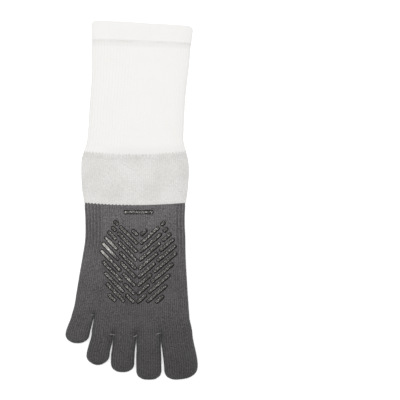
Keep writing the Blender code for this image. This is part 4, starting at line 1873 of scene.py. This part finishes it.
@dataclass
class WebTacks:
    """The stitched bars that close the four webs between the toes."""

    foot: FootAndToes
    wraps: float = 1.15 / MM  # for each metre of bar
    wrap_depth: float = 0.14  # of the bar's radius
    flatness: float = 0.7  # the bar's height, of its width
    rows: int = 48
    around: int = 12
    lift: float = 0.3 * MM
    window: float = 1.5 * MM  # to both sides, how far the bar feels for the knit below it
    before_web: float = 1.2 * MM  # the row of knit whose height it follows
    hug: float = 0.85  # how much it goes by the highest place beside it, and not by the mean
    end_power: int = 6  # how square its ends are
    tacks: tuple[Tack, ...] = (
        Tack(3.4 * MM, -2.0, (-1.8 * MM, 0.1 * MM), 0.5 * MM),
        Tack(5.2 * MM, -8.0, (-0.5 * MM, 0.1 * MM)),
        Tack(4.6 * MM, 22.0, (-0.9 * MM, -1.5 * MM)),
        Tack(5.2 * MM, 14.0, (-2.2 * MM, 1.1 * MM)),
    )

    def height(self, plan: Array, root: float) -> Array:
        """Height of a bar's middle line, a little over the knit.

        Formula: mostly the highest and partly the mean of the knit's heights to both sides.

        Args:
            plan: x and y of the line.
            root: y of the toes' roots beside it.

        Returns:
            Heights over the ground.
        """
        beside = plan[:, 0] + np.linspace(-self.window, self.window, 9)[:, None]
        below = self.foot.height_across(root + self.before_web, beside)
        level = (1 - self.hug) * below.mean(axis=0) + self.hug * below.max(axis=0)
        return level + self.lift + undulation(plan)

    def build(self, material: Material) -> None:
        """Builds one bar for each web.

        Formula: a closed tube carried along a short line that follows the knit below it, its radius
        swelling and shrinking with each wrap of thread and closing at both ends.

        Args:
            material: the thread's finish.
        """
        s = -np.cos(np.linspace(0.02, np.pi - 0.02, self.rows))
        theta = np.linspace(0, 2 * np.pi, self.around, endpoint=False)
        for number, ((x, y), tack) in enumerate(zip(self.foot.web_places(), self.tacks), 1):
            angle = np.radians(tack.turn)
            ahead, side = np.array(((np.cos(angle), np.sin(angle)), (-np.sin(angle), np.cos(angle))))
            plan = np.array((x, y)) + np.array(tack.offset) + s[:, None] * tack.length / 2 * ahead
            wrap = 1 + self.wrap_depth * np.cos(2 * np.pi * self.wraps * tack.length / 2 * s)
            radius = (tack.radius * np.sqrt(np.maximum(1 - s**self.end_power, 0)) * wrap)[:, None]
            across = plan[:, None] + (radius * np.cos(theta))[..., None] * side
            up = self.height(plan, y)[:, None] + self.flatness * radius * np.sin(theta)
            turns = np.linspace(0, 1, self.around + 1)
            count = np.stack(np.meshgrid(turns, s * tack.length / MM)[::-1], axis=-1)
            mesh = KnitMesh()
            mesh.add_tube(np.concatenate([across, up[..., None]], axis=-1), count, np.zeros(2))
            place(mesh.to_object(f"web_tack_{number}", mesh.flat, material), Slot.DARK)


@dataclass
class WeltSeam:
    """The line of zigzag stitches that holds the hem down to the leg."""

    form: SockForm
    stitches: int = 78
    points_per_stitch: int = 12
    rows: Pair = (-1.6 * MM, 0.2 * MM)  # from the hem's edge, between which it swings
    swing: float = 0.42  # how much of that it uses to either side
    step: float = 0.1 * MM  # how far it stands proud of the leg
    radius: float = 0.17 * MM
    around: int = 6

    def build(self, material: Material) -> Object:
        """Builds the zigzag.

        Formula: a thin tube along a line round the leg just below the hem, whose place along the sock
        swings as a triangle wave.

        Args:
            material: the thread's finish.

        Returns:
            The seam.
        """
        columns = self.stitches * self.points_per_stitch
        phase = np.arange(columns) / self.points_per_stitch
        wave = 2 * np.abs(2 * (phase % 1) - 1) - 1
        (low, high), _ = self.form.tube_grid(self.form.y_leg + np.array(self.rows), columns, self.step)
        share = (0.5 + self.swing * wave)[:, None]
        path = low * (1 - share) + high * share
        ahead = np.roll(path, -1, 0) - np.roll(path, 1, 0)
        ahead /= np.linalg.norm(ahead, axis=1, keepdims=True)
        round_leg = np.roll(path, -3, 0) - np.roll(path, 3, 0)
        outward = np.stack([-round_leg[:, 2], np.zeros(columns), round_leg[:, 0]], axis=1)
        outward /= np.linalg.norm(outward, axis=1, keepdims=True)
        beside = np.cross(ahead, outward)
        theta = np.linspace(0, 2 * np.pi, self.around, endpoint=False)[:, None, None]
        points = path + self.radius * (np.cos(theta) * outward + np.sin(theta) * beside)
        mesh = KnitMesh()
        mesh.add_torus(points, stitch_count(np.arange(self.around + 1) * -COURSE, columns + 1, self.stitches))
        return mesh.to_object("welt_seam", settle(mesh.flat), material)


@dataclass(frozen=True)
class Lamp:
    """A square light: its place, its side in metres and its power in watts."""

    spot: Vector
    size: float
    power: float


@dataclass
class Studio:
    """A pale floor, soft light from above and a camera that looks straight down."""

    middle: Pair = (68 * MM, 0.0)  # x and y of the picture's middle
    frame_width: float = 400 * MM
    focus_height: float = 4 * MM
    lens: float = 135.0
    sensor: float = 36.0
    floor_half: float = 8.0  # so wide that a low view doesn't reach its edge
    floor_drop: float = 0.2 * MM
    floor_greys: Pair = (0.97, 0.95)  # between which it is mottled
    floor_glow: float = 0.14  # the faint light of a lit table, which thins the shadows
    world_strength: float = 0.7
    overhead: Lamp = Lamp((0.08, 0.2, 2.0), 0.9, 21.5)
    side: Lamp = Lamp((-0.9, 0.6, 0.9), 0.5, 1.4)

    def lay_floor(self) -> None:
        """Lays a wide, gently mottled pale floor just below the sock."""
        grid = np.linspace(-self.floor_half, self.floor_half, 9)
        x, y = np.meshgrid(grid, -grid)
        mesh = KnitMesh()
        numbers = mesh.add_points(np.stack([x, y, np.full_like(x, -self.floor_drop)], axis=-1))
        mesh.add_grid(numbers, np.stack([x, y], axis=-1))
        wiring = Wiring("pale_floor")
        greys = ((grey,) * 3 for grey in self.floor_greys)
        finish = wiring.dress(
            Base_Color=wiring.mix(wiring.noise(wiring.spot(), 3.0), *greys),
            Roughness=0.9,
            Specular_IOR_Level=0.1,
            Emission_Color=(1.0, 1.0, 1.0),
            Emission_Strength=self.floor_glow,
        )
        mesh.to_object("floor", mesh.flat, finish)

    def add_area(self, name: str, lamp: Lamp) -> None:
        """Adds a square soft light that faces the middle of the sock.

        Formula: its tilt is the angle of its place from straight above, and its turn that of its plan.

        Args:
            name: the light's name.
            lamp: where it hangs, how large and how strong it is.
        """
        data = bpy.data.lights.new(name, "AREA")
        data.size = lamp.size
        data.energy = lamp.power
        light = bpy.data.objects.new(name, data)
        light.location = lamp.spot
        x, y, z = lamp.spot
        light.rotation_euler = (np.arctan2(np.hypot(x, y), z), 0.0, np.arctan2(x, -y))
        bpy.context.scene.collection.objects.link(light)

    def light(self) -> None:
        """Sets an even white surround, a wide light overhead and a faint one from the upper left."""
        world = bpy.data.worlds.new("soft_surround")
        world.use_nodes = True
        background = world.node_tree.nodes["Background"]
        background.inputs["Color"].default_value = (1.0, 1.0, 1.0, 1.0)
        background.inputs["Strength"].default_value = self.world_strength
        bpy.context.scene.world = world
        self.add_area("overhead", self.overhead)
        self.add_area("side", self.side)
        bpy.context.scene.view_settings.view_transform = "Standard"

    def set_camera(self) -> None:
        """Puts the camera straight above, at the distance where the frame's width fits its lens."""
        data = bpy.data.cameras.new("camera")
        data.lens = self.lens
        data.sensor_width = self.sensor
        camera = bpy.data.objects.new("camera", data)
        distance = self.frame_width * self.lens / self.sensor
        camera.location = (*self.middle, self.focus_height + distance)
        bpy.context.scene.collection.objects.link(camera)
        bpy.context.scene.camera = camera


def main() -> None:
    """Builds the sock piece by piece and sets it in its studio."""
    logging.basicConfig(level=logging.INFO, format="%(message)s")
    form = SockForm()
    white = WHITE_FINISH.material()
    silicone = SiliconeFinish().material()
    pale_thread = ThreadFinish("pale_thread", srgb(124, 122, 122)).material()
    white_thread = ThreadFinish("white_thread", srgb(218, 217, 214), 0.92).material()

    studio = Studio()
    studio.lay_floor()
    studio.light()
    studio.set_camera()

    leg = Leg(form)
    place(CuffWelt(form).build(white), Slot.WHITE, "cuff_welt")
    place(WeltSeam(form).build(white_thread), Slot.WHITE)
    place(leg.build(white), Slot.WHITE, "leg")
    place(HeelBand(form, leg).build(GREY_FINISH.material()), Slot.GREY, "heel_band")
    foot = FootAndToes(form)
    place(foot.build(DARK_FINISH.material()), Slot.DARK, "foot", *(toe.name for toe in form.toes))
    WebTacks(foot).build(pale_thread)
    grip = GripPrint(form)
    for side in Side:
        for column in Column:
            grip.build_column(side, column, silicone)
    grip.build_bar(silicone)


if __name__ == "__main__":
    main()
